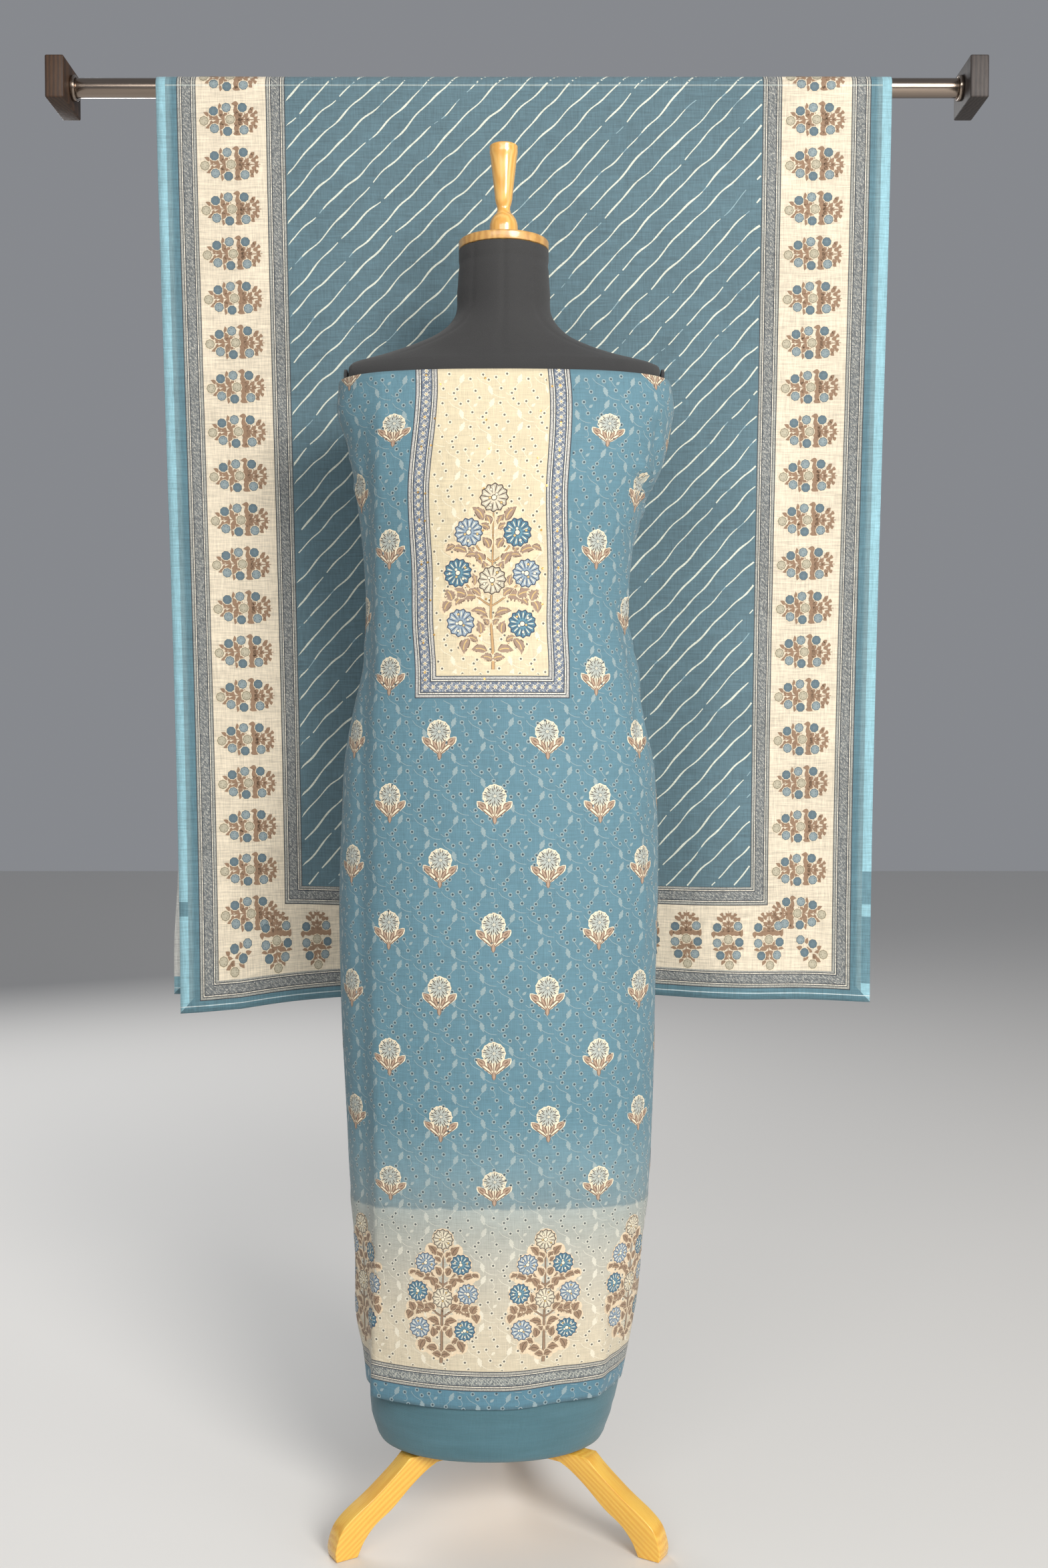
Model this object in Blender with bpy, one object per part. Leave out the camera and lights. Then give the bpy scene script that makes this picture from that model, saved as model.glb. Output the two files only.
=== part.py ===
"""Unstitched salwar kameez set on a limbless dress form, with its dupatta hung over a rod behind it.

Metres, +Z up, +Y away from the viewer. The origin is on the floor, under the middle of the whole set.
"""

import math

import bmesh
import bpy
import numpy as np

# Driving dimensions
FORM_X, FORM_Y = -0.0215, -0.0600  # the form's upright axis
RAIL_BEHIND = 0.201  # from the form's axis back to the rod's
RAIL_Z = 1.8205
RAIL_RADIUS = 0.0125
FIT_GAP = 0.0004  # between pieces that touch on the real set

KAMEEZ_WALL = 0.0014
KAMEEZ_CUT = 1.100  # width of the cloth that is wrapped round the form
KAMEEZ_TOP, KAMEEZ_HEM = 1.387, 0.1765
LAP_LIFT = 0.0030  # how far the upper flap lies outside the lower one
CREASE_AT = -0.149  # pressed crease, along the cloth from its middle

SALWAR_WALL = 0.0012
SALWAR_IN = 0.0036  # outer face of the salwar cloth inside the outer face of the kameez
SALWAR_LAP = 0.030  # share of a turn by which each end passes the middle of the back

FORM_IN = 0.0085  # jersey face inside the outer face of the kameez

DUPATTA_WALL = 0.0012
DUPATTA_CUT = 0.970
DUPATTA_X = 0.009
FRONT_FALL_Z, BACK_FALL_Z = 0.610, 0.598
DUPATTA_WAVE = 0.012
WAVE_LENGTH = 0.250

LEG_WIDTH = 0.025
LEG_DIRECTIONS = {"leg_right": -30.0, "leg_left": -150.0, "leg_rear": 90.0}

PLATE_INNER_X = 0.5895
PLATE_SIZE = (0.0245, 0.085, 0.055)
FLANGE_RADIUS, FLANGE_DEPTH = 0.0165, 0.006

# Outer face of the dressed figure.
# height, half width, shift of the middle to the right, depth in front, depth behind, squareness
OUTLINE = [
    (0.1035, 0.1330, -0.0100, 0.0960, 0.0960, 2.2),
    (0.1090, 0.1395, -0.0100, 0.1020, 0.1000, 2.2),
    (0.1200, 0.1450, -0.0100, 0.1060, 0.1040, 2.2),
    (0.1378, 0.1515, -0.0095, 0.1090, 0.1060, 2.2),
    (0.1680, 0.1566, -0.0065, 0.1110, 0.1080, 2.1),
    (0.2099, 0.1633, -0.0045, 0.1125, 0.1090, 2.1),
    (0.2500, 0.1695, -0.0038, 0.1135, 0.1100, 2.1),
    (0.3300, 0.1755, -0.0010, 0.1150, 0.1110, 2.1),
    (0.3960, 0.1825, 0.0000, 0.1165, 0.1120, 2.1),
    (0.5000, 0.1870, 0.0005, 0.1185, 0.1140, 2.1),
    (0.6500, 0.1922, -0.0008, 0.1200, 0.1160, 2.1),
    (0.7900, 0.1945, 0.0000, 0.1205, 0.1180, 2.1),
    (0.8704, 0.1921, 0.0010, 0.1190, 0.1170, 2.1),
    (0.9325, 0.1880, 0.0000, 0.1150, 0.1120, 2.1),
    (0.9953, 0.1755, -0.0020, 0.1070, 0.1040, 2.1),
    (1.0458, 0.1645, -0.0015, 0.1000, 0.0970, 2.1),
    (1.0950, 0.1578, -0.0038, 0.0970, 0.0930, 2.15),
    (1.1619, 0.1614, -0.0014, 0.1030, 0.0930, 2.2),
    (1.2112, 0.1670, 0.0002, 0.1120, 0.0960, 2.25),
    (1.2484, 0.1738, 0.0023, 0.1160, 0.0990, 2.3),
    (1.2855, 0.1835, 0.0060, 0.1140, 0.1010, 2.4),
    (1.3250, 0.1942, 0.0090, 0.1090, 0.1010, 2.5),
    (1.3548, 0.2022, 0.0095, 0.1040, 0.1000, 2.6),
    (1.3900, 0.2005, 0.0072, 0.0990, 0.0980, 2.6),
]

# Neck, shoulders and underside of the form itself, where no cloth gives its outline. Same columns.
FORM_UNDERSIDE = [
    (0.1180, 0.1120, -0.0100, 0.0780, 0.0780, 2.2),
    (0.1215, 0.1270, -0.0100, 0.0880, 0.0880, 2.2),
    (0.1300, 0.1360, -0.0100, 0.0950, 0.0950, 2.2),
    (0.1450, 0.1435, -0.0090, 0.0995, 0.0970, 2.15),
]
FORM_SHOULDERS = [
    (1.3100, 0.1770, 0.0068, 0.1000, 0.0930, 2.6),
    (1.3450, 0.1812, 0.0068, 0.0950, 0.0920, 2.8),
    (1.3800, 0.1860, 0.0068, 0.0880, 0.0890, 3.0),
    (1.4000, 0.1878, 0.0068, 0.0800, 0.0830, 2.8),
    (1.4071, 0.1872, 0.0064, 0.0760, 0.0790, 2.5),
    (1.4110, 0.1820, 0.0040, 0.0730, 0.0760, 2.3),
    (1.4191, 0.1520, 0.0020, 0.0690, 0.0720, 2.1),
    (1.4291, 0.1199, 0.0015, 0.0660, 0.0690, 2.0),
    (1.4408, 0.0897, 0.0030, 0.0640, 0.0670, 2.0),
    (1.4544, 0.0696, 0.0052, 0.0610, 0.0640, 2.0),
    (1.4656, 0.0608, 0.0058, 0.0580, 0.0600, 2.0),
    (1.5000, 0.0560, 0.0060, 0.0560, 0.0570, 2.0),
    (1.5313, 0.0543, 0.0062, 0.0543, 0.0543, 2.0),
    (1.5480, 0.0543, 0.0062, 0.0543, 0.0543, 2.0),
]
NECK_X = FORM_X + 0.0062

# Pressed crease of the kameez: height, how far it stands out
CREASE_RISE = [(0.17, 0.0150), (0.30, 0.0090), (0.50, 0.0060), (0.70, 0.0035), (0.95, 0.0035), (1.10, 0.0050),
               (1.28, 0.0050), (1.39, 0.0010)]
# Soft folds: place along the cloth, height, half length along, half length up, how far each stands out
SOFT_FOLDS = [
    (0.245, 1.2900, 0.022, 0.040, 0.0080),
    (-0.215, 1.3450, 0.030, 0.022, 0.0050),
    (0.115, 0.2300, 0.030, 0.120, 0.0060),
    (-0.020, 0.4180, 0.190, 0.016, -0.0022),
    (0.000, 0.3960, 0.160, 0.014, 0.0020),
    (-0.390, 0.7500, 0.030, 0.420, 0.0045),
    (0.360, 0.6000, 0.035, 0.380, 0.0040),
]

# Arm ends: lowest and highest x of the outer face from the form's middle, height of the middle, half sizes
ARM_PLATE_X_LOW, ARM_PLATE_X_TOP = 0.1820, 0.1940
ARM_PLATE_MIDDLE_Z, ARM_PLATE_HALF_HEIGHT, ARM_PLATE_HALF_DEPTH = 1.3570, 0.0500, 0.0330
ARM_PLATE_THICK = 0.0040

# Turned pieces: height, radius
NECK_CAP = [(1.5484, 0.0520), (1.5495, 0.0543), (1.5580, 0.0545), (1.5598, 0.0530)]
FINIAL = [
    (1.5602, 0.0140), (1.5640, 0.0165), (1.5720, 0.0172), (1.5840, 0.0160), (1.5905, 0.0125), (1.5940, 0.0093),
    (1.6100, 0.0104), (1.6350, 0.0132), (1.6580, 0.0158), (1.6700, 0.0169), (1.6752, 0.0150), (1.6772, 0.0090),
]
BASE_DISC = [(0.1031, 0.0830), (0.1045, 0.0850), (0.1160, 0.0850), (0.1175, 0.0830)]
# Side view of a leg, from the form's axis outwards: upper edge, then lower edge
LEG_UPPER = [(0.0600, 0.1027), (0.1290, 0.1027), (0.1444, 0.0889), (0.1744, 0.0663), (0.2040, 0.0472),
             (0.2183, 0.0329), (0.2250, 0.0130), (0.2240, 0.0)]
LEG_LOWER = [(0.0600, 0.0905), (0.0920, 0.0900), (0.1061, 0.0830), (0.1265, 0.0687), (0.1513, 0.0475),
             (0.1740, 0.0327), (0.1884, 0.0166), (0.1970, 0.0)]

# How finely the cloth is divided
KAMEEZ_COLUMNS, KAMEEZ_ROWS = 50, 23
SALWAR_COLUMNS = 40
DUPATTA_COLUMNS, FALL_ROWS, RAIL_ROWS = 24, 13, 7
FORM_COLUMNS, FORM_ROWS = 36, 22
TURNED_SIDES = 28


def clear_scene():
    for item in list(bpy.data.objects):
        bpy.data.objects.remove(item, do_unlink=True)


def finish(name, colour, roughness, metallic=0.0):
    material = bpy.data.materials.new(name)
    material.use_nodes = True
    shader = material.node_tree.nodes["Principled BSDF"]
    shader.inputs["Base Color"].default_value = (*colour, 1.0)
    shader.inputs["Roughness"].default_value = roughness
    shader.inputs["Metallic"].default_value = metallic
    return material


def add_piece(name, points, faces, material):
    """One named object from points and faces, with flat doubles merged and its faces pointing out."""
    mesh = bpy.data.meshes.new(name)
    mesh.from_pydata([tuple(point) for point in points], [], faces)
    work = bmesh.new()
    work.from_mesh(mesh)
    bmesh.ops.remove_doubles(work, verts=work.verts, dist=0.00001)
    bmesh.ops.recalc_face_normals(work, faces=work.faces)
    work.to_mesh(mesh)
    work.free()
    mesh.shade_smooth()
    mesh.set_sharp_from_angle(angle=math.radians(40.0))
    mesh.materials.append(material)
    piece = bpy.data.objects.new(name, mesh)
    bpy.context.collection.objects.link(piece)
    return piece


def smooth_step(value):
    value = np.clip(value, 0.0, 1.0)
    return value * value * (3.0 - 2.0 * value)


def table_at(table, height):
    """The table's other columns at a height, on a smooth curve through its rows."""
    rows = np.array(table)
    heights, values = rows[:, 0], rows[:, 1:]
    slopes = np.gradient(values, heights, axis=0)
    height = float(np.clip(height, heights[0], heights[-1]))
    low = int(np.clip(np.searchsorted(heights, height) - 1, 0, len(heights) - 2))
    span = heights[low + 1] - heights[low]
    t = (height - heights[low]) / span
    return (
        (2 * t**3 - 3 * t**2 + 1) * values[low]
        + (t**3 - 2 * t**2 + t) * span * slopes[low]
        + (3 * t**2 - 2 * t**3) * values[low + 1]
        + (t**3 - t**2) * span * slopes[low + 1]
    )


def loop_points(row, samples=720):
    """A rounded closed outline in plan, from the middle of the front round to the right, and its running length."""
    half_width, shift, front, behind, squareness = row
    turn = np.linspace(-math.pi, math.pi, samples + 1)
    power = 2.0 / squareness
    across, along = np.sin(turn), -np.cos(turn)
    depth = np.where(along < 0.0, front, behind)
    x = FORM_X + shift + half_width * np.sign(across) * np.abs(across) ** power
    y = FORM_Y + depth * np.sign(along) * np.abs(along) ** power
    steps = np.hypot(np.diff(x), np.diff(y))
    length = np.concatenate([[0.0], np.cumsum(steps)])
    return x, y, length - length[-1] / 2.0


def on_loop(row, along, out):
    """Points at signed lengths along an outline, moved outwards; a length past the back goes on round."""
    x, y, length = loop_points(row)
    around = 2.0 * length[-1]
    wrapped = (np.asarray(along) + length[-1]) % around - length[-1]
    reach = 0.004
    here = np.stack([np.interp(wrapped, length, x), np.interp(wrapped, length, y)], axis=-1)
    ahead_at = (wrapped + reach + length[-1]) % around - length[-1]
    behind_at = (wrapped - reach + length[-1]) % around - length[-1]
    ahead = np.stack([np.interp(ahead_at, length, x), np.interp(ahead_at, length, y)], axis=-1)
    behind = np.stack([np.interp(behind_at, length, x), np.interp(behind_at, length, y)], axis=-1)
    step = ahead - behind
    step /= np.linalg.norm(step, axis=-1, keepdims=True)
    outward = np.stack([step[..., 1], -step[..., 0]], axis=-1)
    return here + outward * np.asarray(out)[..., None]


def half_loop(row):
    return loop_points(row)[2][-1]


def lap(along, half_around, half_cut, lift):
    """How far the cloth's right end is lifted, so that it lies over its left end at the back."""
    lower_flap_from = 2.0 * half_around - half_cut
    return lift * smooth_step((along - lower_flap_from + 0.075) / 0.060)


def kameez_folds(along, height):
    """How far the kameez cloth stands out from the plain outline, in its pressed crease and its soft folds."""
    rise = float(table_at(CREASE_RISE, height)[0])
    side = along - CREASE_AT
    out = rise * np.exp(-np.abs(side) / np.where(side > 0.0, 0.045, 0.022))
    for place, level, half_along, half_up, amount in SOFT_FOLDS:
        distance = ((along - place) / half_along) ** 2 + ((height - level) / half_up) ** 2
        out = out + amount * np.exp(-distance)
    return out


def sheet_solid(name, outer, inner, material):
    """A closed wall between two grids of points, rows by columns."""
    rows, columns = outer.shape[:2]
    points = np.concatenate([outer.reshape(-1, 3), inner.reshape(-1, 3)])
    count = rows * columns

    def at(row, column, layer):
        return layer * count + row * columns + column

    faces = []
    for row in range(rows - 1):
        for column in range(columns - 1):
            square = [(row, column), (row, column + 1), (row + 1, column + 1), (row + 1, column)]
            faces.append([at(r, c, 0) for r, c in square])
            faces.append([at(r, c, 1) for r, c in reversed(square)])
    rim = [(0, c) for c in range(columns)]
    rim += [(r, columns - 1) for r in range(1, rows)]
    rim += [(rows - 1, c) for c in range(columns - 2, -1, -1)]
    rim += [(r, 0) for r in range(rows - 2, 0, -1)]
    for here, there in zip(rim, rim[1:] + rim[:1]):
        faces.append([at(*there, 0), at(*here, 0), at(*here, 1), at(*there, 1)])
    return add_piece(name, points, faces, material)


def stacked_solid(name, rings, material):
    """A closed solid through rings of the same number of points, capped at both ends."""
    count = len(rings[0])
    points = [point for ring in rings for point in ring]
    faces = [list(range(count - 1, -1, -1)), [(len(rings) - 1) * count + i for i in range(count)]]
    for level in range(len(rings) - 1):
        for i in range(count):
            j = (i + 1) % count
            low, high = level * count, (level + 1) * count
            faces.append([low + i, low + j, high + j, high + i])
    return add_piece(name, points, faces, material)


def make_kameez():
    half_cut = KAMEEZ_CUT / 2.0
    columns = np.linspace(-half_cut, half_cut, KAMEEZ_COLUMNS)
    columns[np.argmin(np.abs(columns - CREASE_AT))] = CREASE_AT
    outer, inner = [], []
    for height in np.linspace(KAMEEZ_HEM, KAMEEZ_TOP, KAMEEZ_ROWS):
        row = table_at(OUTLINE, height)
        out = kameez_folds(columns, height) + lap(columns, half_loop(row), half_cut, LAP_LIFT)
        for grid, depth in ((outer, 0.0), (inner, KAMEEZ_WALL)):
            plan = on_loop(row, columns, out - depth)
            grid.append(np.column_stack([plan, np.full(len(columns), height)]))
    sheet_solid("kameez", np.array(outer), np.array(inner), finish("kameez_cloth", (0.16, 0.28, 0.34), 0.8))


def salwar_path():
    """Height, size against the outline, and share of the wall's thickness that is level there, downwards."""
    sides = [(height, 1.0, 0.0) for height in np.linspace(0.62, 0.1378, 8)]
    turned_under = [(0.1200, 1.0, 0.2), (0.1090, 1.0, 0.5), (0.1045, 0.965, 0.8), (0.1036, 0.925, 1.0),
                    (0.1042, 0.885, 1.0)]
    return sides + turned_under


def make_salwar():
    ends = 0.5 + SALWAR_LAP
    turns = np.linspace(-ends, ends, SALWAR_COLUMNS)
    outer, inner = [], []
    for height, size, level_share in salwar_path():
        row = table_at(OUTLINE, height)
        row = np.array([row[0] * size, row[1], row[2] * size, row[3] * size, row[4]])
        around = 2.0 * half_loop(row)
        lift = lap(turns * around, around / 2.0, ends * around, SALWAR_WALL + FIT_GAP)
        for grid, depth in ((outer, 0.0), (inner, SALWAR_WALL)):
            inward = SALWAR_IN * (1.0 - level_share) + depth * (1.0 - level_share)
            plan = on_loop(row, turns * around, lift * (1.0 - level_share) - inward)
            level = height + (depth - lift) * level_share + (SALWAR_WALL + FIT_GAP) * level_share
            grid.append(np.column_stack([plan, np.broadcast_to(level, turns.shape)]))
    sheet_solid("salwar", np.array(outer), np.array(inner), finish("salwar_cloth", (0.08, 0.20, 0.24), 0.7))


def dupatta_wave(across, fallen):
    """Distance towards the viewer at a place across, and how far down the fall, from 0 at the rod to 1."""
    swell = DUPATTA_WAVE * smooth_step((fallen - 0.12) / 0.85)
    turn = 2.0 * math.pi * across / WAVE_LENGTH
    return swell * (0.75 * np.sin(turn + 0.9) + 0.35 * np.sin(0.53 * turn + 2.1 + 0.8 * fallen))


def dupatta_width(fallen):
    return DUPATTA_CUT - 0.060 * smooth_step(0.15 + 0.85 * fallen) + 0.060 * smooth_step(0.15)


def make_dupatta():
    rail_y = FORM_Y + RAIL_BEHIND
    across = np.linspace(-0.5, 0.5, DUPATTA_COLUMNS)
    fall = RAIL_Z - FRONT_FALL_Z
    outer, inner = [], []

    def add_row(side, z, angle):
        fallen = (RAIL_Z - z) / fall if angle is None else 0.0
        x = DUPATTA_X + across * dupatta_width(fallen)
        wave = dupatta_wave(across * DUPATTA_CUT, fallen)
        for grid, radius in ((outer, RAIL_RADIUS + FIT_GAP + DUPATTA_WALL), (inner, RAIL_RADIUS + FIT_GAP)):
            if angle is None:
                y, level = rail_y + side * radius - wave, np.full(len(across), z)
            else:
                y = np.full(len(across), rail_y - radius * math.cos(angle))
                level = np.full(len(across), RAIL_Z + radius * math.sin(angle))
            grid.append(np.column_stack([x, y, level]))

    for z in np.linspace(FRONT_FALL_Z, RAIL_Z, FALL_ROWS):
        add_row(-1.0, z, None)
    for angle in np.linspace(0.0, math.pi, RAIL_ROWS + 2)[1:-1]:
        add_row(0.0, 0.0, angle)
    for z in np.linspace(RAIL_Z, BACK_FALL_Z, FALL_ROWS):
        add_row(1.0, z, None)
    sheet_solid("dupatta", np.array(outer), np.array(inner), finish("dupatta_cloth", (0.14, 0.24, 0.30), 0.75))


def form_ring(row, height):
    around = 2.0 * half_loop(row)
    plan = on_loop(row, np.arange(FORM_COLUMNS) / FORM_COLUMNS * around, np.zeros(FORM_COLUMNS))
    return np.column_stack([plan, np.full(FORM_COLUMNS, height)])


def make_form():
    jersey = finish("black_jersey", (0.045, 0.045, 0.046), 0.9)
    rings = [form_ring(np.array(row[1:]), row[0]) for row in FORM_UNDERSIDE]
    for height in np.linspace(0.17, 1.285, FORM_ROWS):
        row = table_at(OUTLINE, height)
        row = np.array([row[0] - FORM_IN, row[1], row[2] - FORM_IN, row[3] - FORM_IN, row[4]])
        rings.append(form_ring(row, height))
    rings += [form_ring(np.array(row[1:]), row[0]) for row in FORM_SHOULDERS]
    stacked_solid("form_body", rings, jersey)
    for name, side in (("arm_plate_left", -1.0), ("arm_plate_right", 1.0)):
        make_arm_plate(name, side, jersey)


def make_arm_plate(name, side, material):
    """An oval plate on the cut arm end, leaning in at its foot."""
    faces = []
    for depth in (ARM_PLATE_THICK, 0.0008, 0.0):
        shrink = 0.94 if depth == 0.0 else 1.0
        ring = []
        for i in range(TURNED_SIDES):
            turn = 2.0 * math.pi * i / TURNED_SIDES
            rise = math.sin(turn) * shrink
            share = 0.5 + 0.5 * rise
            out = ARM_PLATE_X_LOW + share * (ARM_PLATE_X_TOP - ARM_PLATE_X_LOW) - depth
            ring.append((
                FORM_X + 0.0068 + side * out,
                FORM_Y + math.cos(turn) * shrink * ARM_PLATE_HALF_DEPTH,
                ARM_PLATE_MIDDLE_Z + rise * ARM_PLATE_HALF_HEIGHT,
            ))
        faces.append(ring)
    stacked_solid(name, faces, material)


def make_turned(name, profile, x, y, material):
    rings = []
    for height, radius in profile:
        turns = [2.0 * math.pi * i / TURNED_SIDES for i in range(TURNED_SIDES)]
        rings.append([(x + radius * math.cos(t), y + radius * math.sin(t), height) for t in turns])
    stacked_solid(name, rings, material)


def make_leg(name, heading, material):
    """A sawn leg: its side view, given the leg's width, and turned to its heading in plan."""
    outline = LEG_UPPER + LEG_LOWER[::-1]
    out = (math.cos(math.radians(heading)), math.sin(math.radians(heading)))
    side = (-out[1], out[0])
    rings = []
    for offset in (-LEG_WIDTH / 2.0, LEG_WIDTH / 2.0):
        rings.append([
            (FORM_X + reach * out[0] + offset * side[0], FORM_Y + reach * out[1] + offset * side[1], z)
            for reach, z in outline
        ])
    points = rings[0] + rings[1]
    count = len(outline)
    half = len(LEG_UPPER)
    faces = [[i, (i + 1) % count, count + (i + 1) % count, count + i] for i in range(count)]
    for layer in (0, count):
        for i in range(half - 1):
            strip = [i, i + 1, count - 2 - i, count - 1 - i]
            faces.append([layer + p for p in (strip if layer else strip[::-1])])
    return add_piece(name, points, faces, material)


def make_legs():
    pine = finish("pine", (0.62, 0.36, 0.10), 0.5)
    for name, heading in LEG_DIRECTIONS.items():
        make_leg(name, heading, pine)
    make_turned("base_disc", BASE_DISC, FORM_X, FORM_Y, pine)


def lying_ring(x, radius, sides=TURNED_SIDES):
    rail_y = FORM_Y + RAIL_BEHIND
    turns = [2.0 * math.pi * i / sides for i in range(sides)]
    return [(x, rail_y + radius * math.cos(t), RAIL_Z + radius * math.sin(t)) for t in turns]


def make_rail():
    steel = finish("brushed_steel", (0.55, 0.55, 0.54), 0.3, 1.0)
    end = PLATE_INNER_X - FIT_GAP
    stacked_solid("rod", [lying_ring(x, RAIL_RADIUS) for x in (-end, end)], steel)
    for name, side in (("flange_left", -1.0), ("flange_right", 1.0)):
        make_flange(name, side, steel)


def make_flange(name, side, material):
    """A ring round the rod's end, standing on the plate."""
    outer_x, inner_x = side * (PLATE_INNER_X - FIT_GAP), side * (PLATE_INNER_X - FLANGE_DEPTH)
    hole = RAIL_RADIUS + FIT_GAP
    rings = [
        lying_ring(outer_x, FLANGE_RADIUS), lying_ring(inner_x + side * 0.001, FLANGE_RADIUS),
        lying_ring(inner_x, FLANGE_RADIUS - 0.001), lying_ring(inner_x, hole), lying_ring(outer_x, hole),
    ]
    points = [point for ring in rings for point in ring]
    count = TURNED_SIDES
    faces = []
    for level in range(len(rings)):
        low, high = level * count, (level + 1) % len(rings) * count
        for i in range(count):
            j = (i + 1) % count
            faces.append([low + i, low + j, high + j, high + i])
    add_piece(name, points, faces, material)


def make_wall_plates():
    thick, deep, high = PLATE_SIZE
    looks = {"wall_plate_left": (-1.0, (0.14, 0.07, 0.04)), "wall_plate_right": (1.0, (0.06, 0.05, 0.05))}
    for name, (side, colour) in looks.items():
        bpy.ops.mesh.primitive_cube_add(size=1.0)
        plate = bpy.context.object
        plate.name = plate.data.name = name
        for corner in plate.data.vertices:
            corner.co.x = side * (PLATE_INNER_X + thick / 2.0) + corner.co.x * thick
            corner.co.y = FORM_Y + RAIL_BEHIND + corner.co.y * deep
            corner.co.z = RAIL_Z + corner.co.z * high
        bevel = plate.modifiers.new("worn_edges", "BEVEL")
        bevel.width, bevel.segments = 0.0015, 2
        plate.data.materials.append(finish(name + "_wood", colour, 0.55))


def main():
    clear_scene()
    make_form()
    make_turned("neck_cap", NECK_CAP, NECK_X, FORM_Y, finish("neck_wood", (0.55, 0.30, 0.09), 0.4))
    make_turned("finial", FINIAL, NECK_X, FORM_Y, finish("finial_wood", (0.60, 0.32, 0.09), 0.3))
    make_legs()
    make_salwar()
    make_kameez()
    make_rail()
    make_wall_plates()
    make_dupatta()


main()
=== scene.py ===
"""Finish of an unstitched salwar kameez set on a dress form, with its dupatta hung over a rod behind.

Metres, +Z up, +Y away from the viewer. Flat patterns are drawn with complex numbers, along the
cloth and up it.
"""

import math

import bmesh
import bpy
import numpy as np
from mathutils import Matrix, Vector


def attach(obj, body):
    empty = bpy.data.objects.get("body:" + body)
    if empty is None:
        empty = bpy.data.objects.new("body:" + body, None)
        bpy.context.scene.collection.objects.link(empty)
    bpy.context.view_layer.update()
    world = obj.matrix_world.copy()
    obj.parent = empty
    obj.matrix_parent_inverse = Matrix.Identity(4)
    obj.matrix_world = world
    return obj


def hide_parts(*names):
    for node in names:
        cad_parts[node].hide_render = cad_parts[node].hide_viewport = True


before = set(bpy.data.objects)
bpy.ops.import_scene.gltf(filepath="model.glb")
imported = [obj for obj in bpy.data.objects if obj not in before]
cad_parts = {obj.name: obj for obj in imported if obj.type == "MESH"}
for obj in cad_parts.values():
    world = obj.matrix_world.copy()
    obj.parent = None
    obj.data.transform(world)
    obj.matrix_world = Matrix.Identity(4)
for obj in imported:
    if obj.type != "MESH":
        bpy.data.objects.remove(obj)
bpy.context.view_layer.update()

# The form, and the cloth wrapped round it
FORM_X, FORM_Y = -0.0215, -0.0600
KAMEEZ_WALL, KAMEEZ_CUT, KAMEEZ_TOP, KAMEEZ_HEM = 0.0014, 1.100, 1.387, 0.1765
LAP_LIFT = 0.0030
CREASE_AT = -0.149
SALWAR_WALL, SALWAR_IN, SALWAR_LAP = 0.0012, 0.0036, 0.030
FIT_GAP = 0.0004
FORM_IN = 0.0085
NECK_X = FORM_X + 0.0062

# height, half width, shift of the middle to the right, depth in front, depth behind, squareness
OUTLINE = [
    (0.1035, 0.1330, -0.0100, 0.0960, 0.0960, 2.2), (0.1090, 0.1395, -0.0100, 0.1020, 0.1000, 2.2),
    (0.1200, 0.1450, -0.0100, 0.1060, 0.1040, 2.2), (0.1378, 0.1515, -0.0095, 0.1090, 0.1060, 2.2),
    (0.1680, 0.1566, -0.0065, 0.1110, 0.1080, 2.1), (0.2099, 0.1633, -0.0045, 0.1125, 0.1090, 2.1),
    (0.2500, 0.1695, -0.0038, 0.1135, 0.1100, 2.1), (0.3300, 0.1755, -0.0010, 0.1150, 0.1110, 2.1),
    (0.3960, 0.1825, 0.0000, 0.1165, 0.1120, 2.1), (0.5000, 0.1870, 0.0005, 0.1185, 0.1140, 2.1),
    (0.6500, 0.1922, -0.0008, 0.1200, 0.1160, 2.1), (0.7900, 0.1945, 0.0000, 0.1205, 0.1180, 2.1),
    (0.8704, 0.1921, 0.0010, 0.1190, 0.1170, 2.1), (0.9325, 0.1880, 0.0000, 0.1150, 0.1120, 2.1),
    (0.9953, 0.1755, -0.0020, 0.1070, 0.1040, 2.1), (1.0458, 0.1645, -0.0015, 0.1000, 0.0970, 2.1),
    (1.0950, 0.1578, -0.0038, 0.0970, 0.0930, 2.15), (1.1619, 0.1614, -0.0014, 0.1030, 0.0930, 2.2),
    (1.2112, 0.1670, 0.0002, 0.1120, 0.0960, 2.25), (1.2484, 0.1738, 0.0023, 0.1160, 0.0990, 2.3),
    (1.2855, 0.1835, 0.0060, 0.1140, 0.1010, 2.4), (1.3250, 0.1942, 0.0090, 0.1090, 0.1010, 2.5),
    (1.3548, 0.2022, 0.0095, 0.1040, 0.1000, 2.6), (1.3900, 0.2005, 0.0072, 0.0990, 0.0980, 2.6),
]
FORM_UNDERSIDE = [
    (0.1180, 0.1120, -0.0100, 0.0780, 0.0780, 2.2), (0.1215, 0.1270, -0.0100, 0.0880, 0.0880, 2.2),
    (0.1300, 0.1360, -0.0100, 0.0950, 0.0950, 2.2), (0.1450, 0.1435, -0.0090, 0.0995, 0.0970, 2.15),
]
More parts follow.
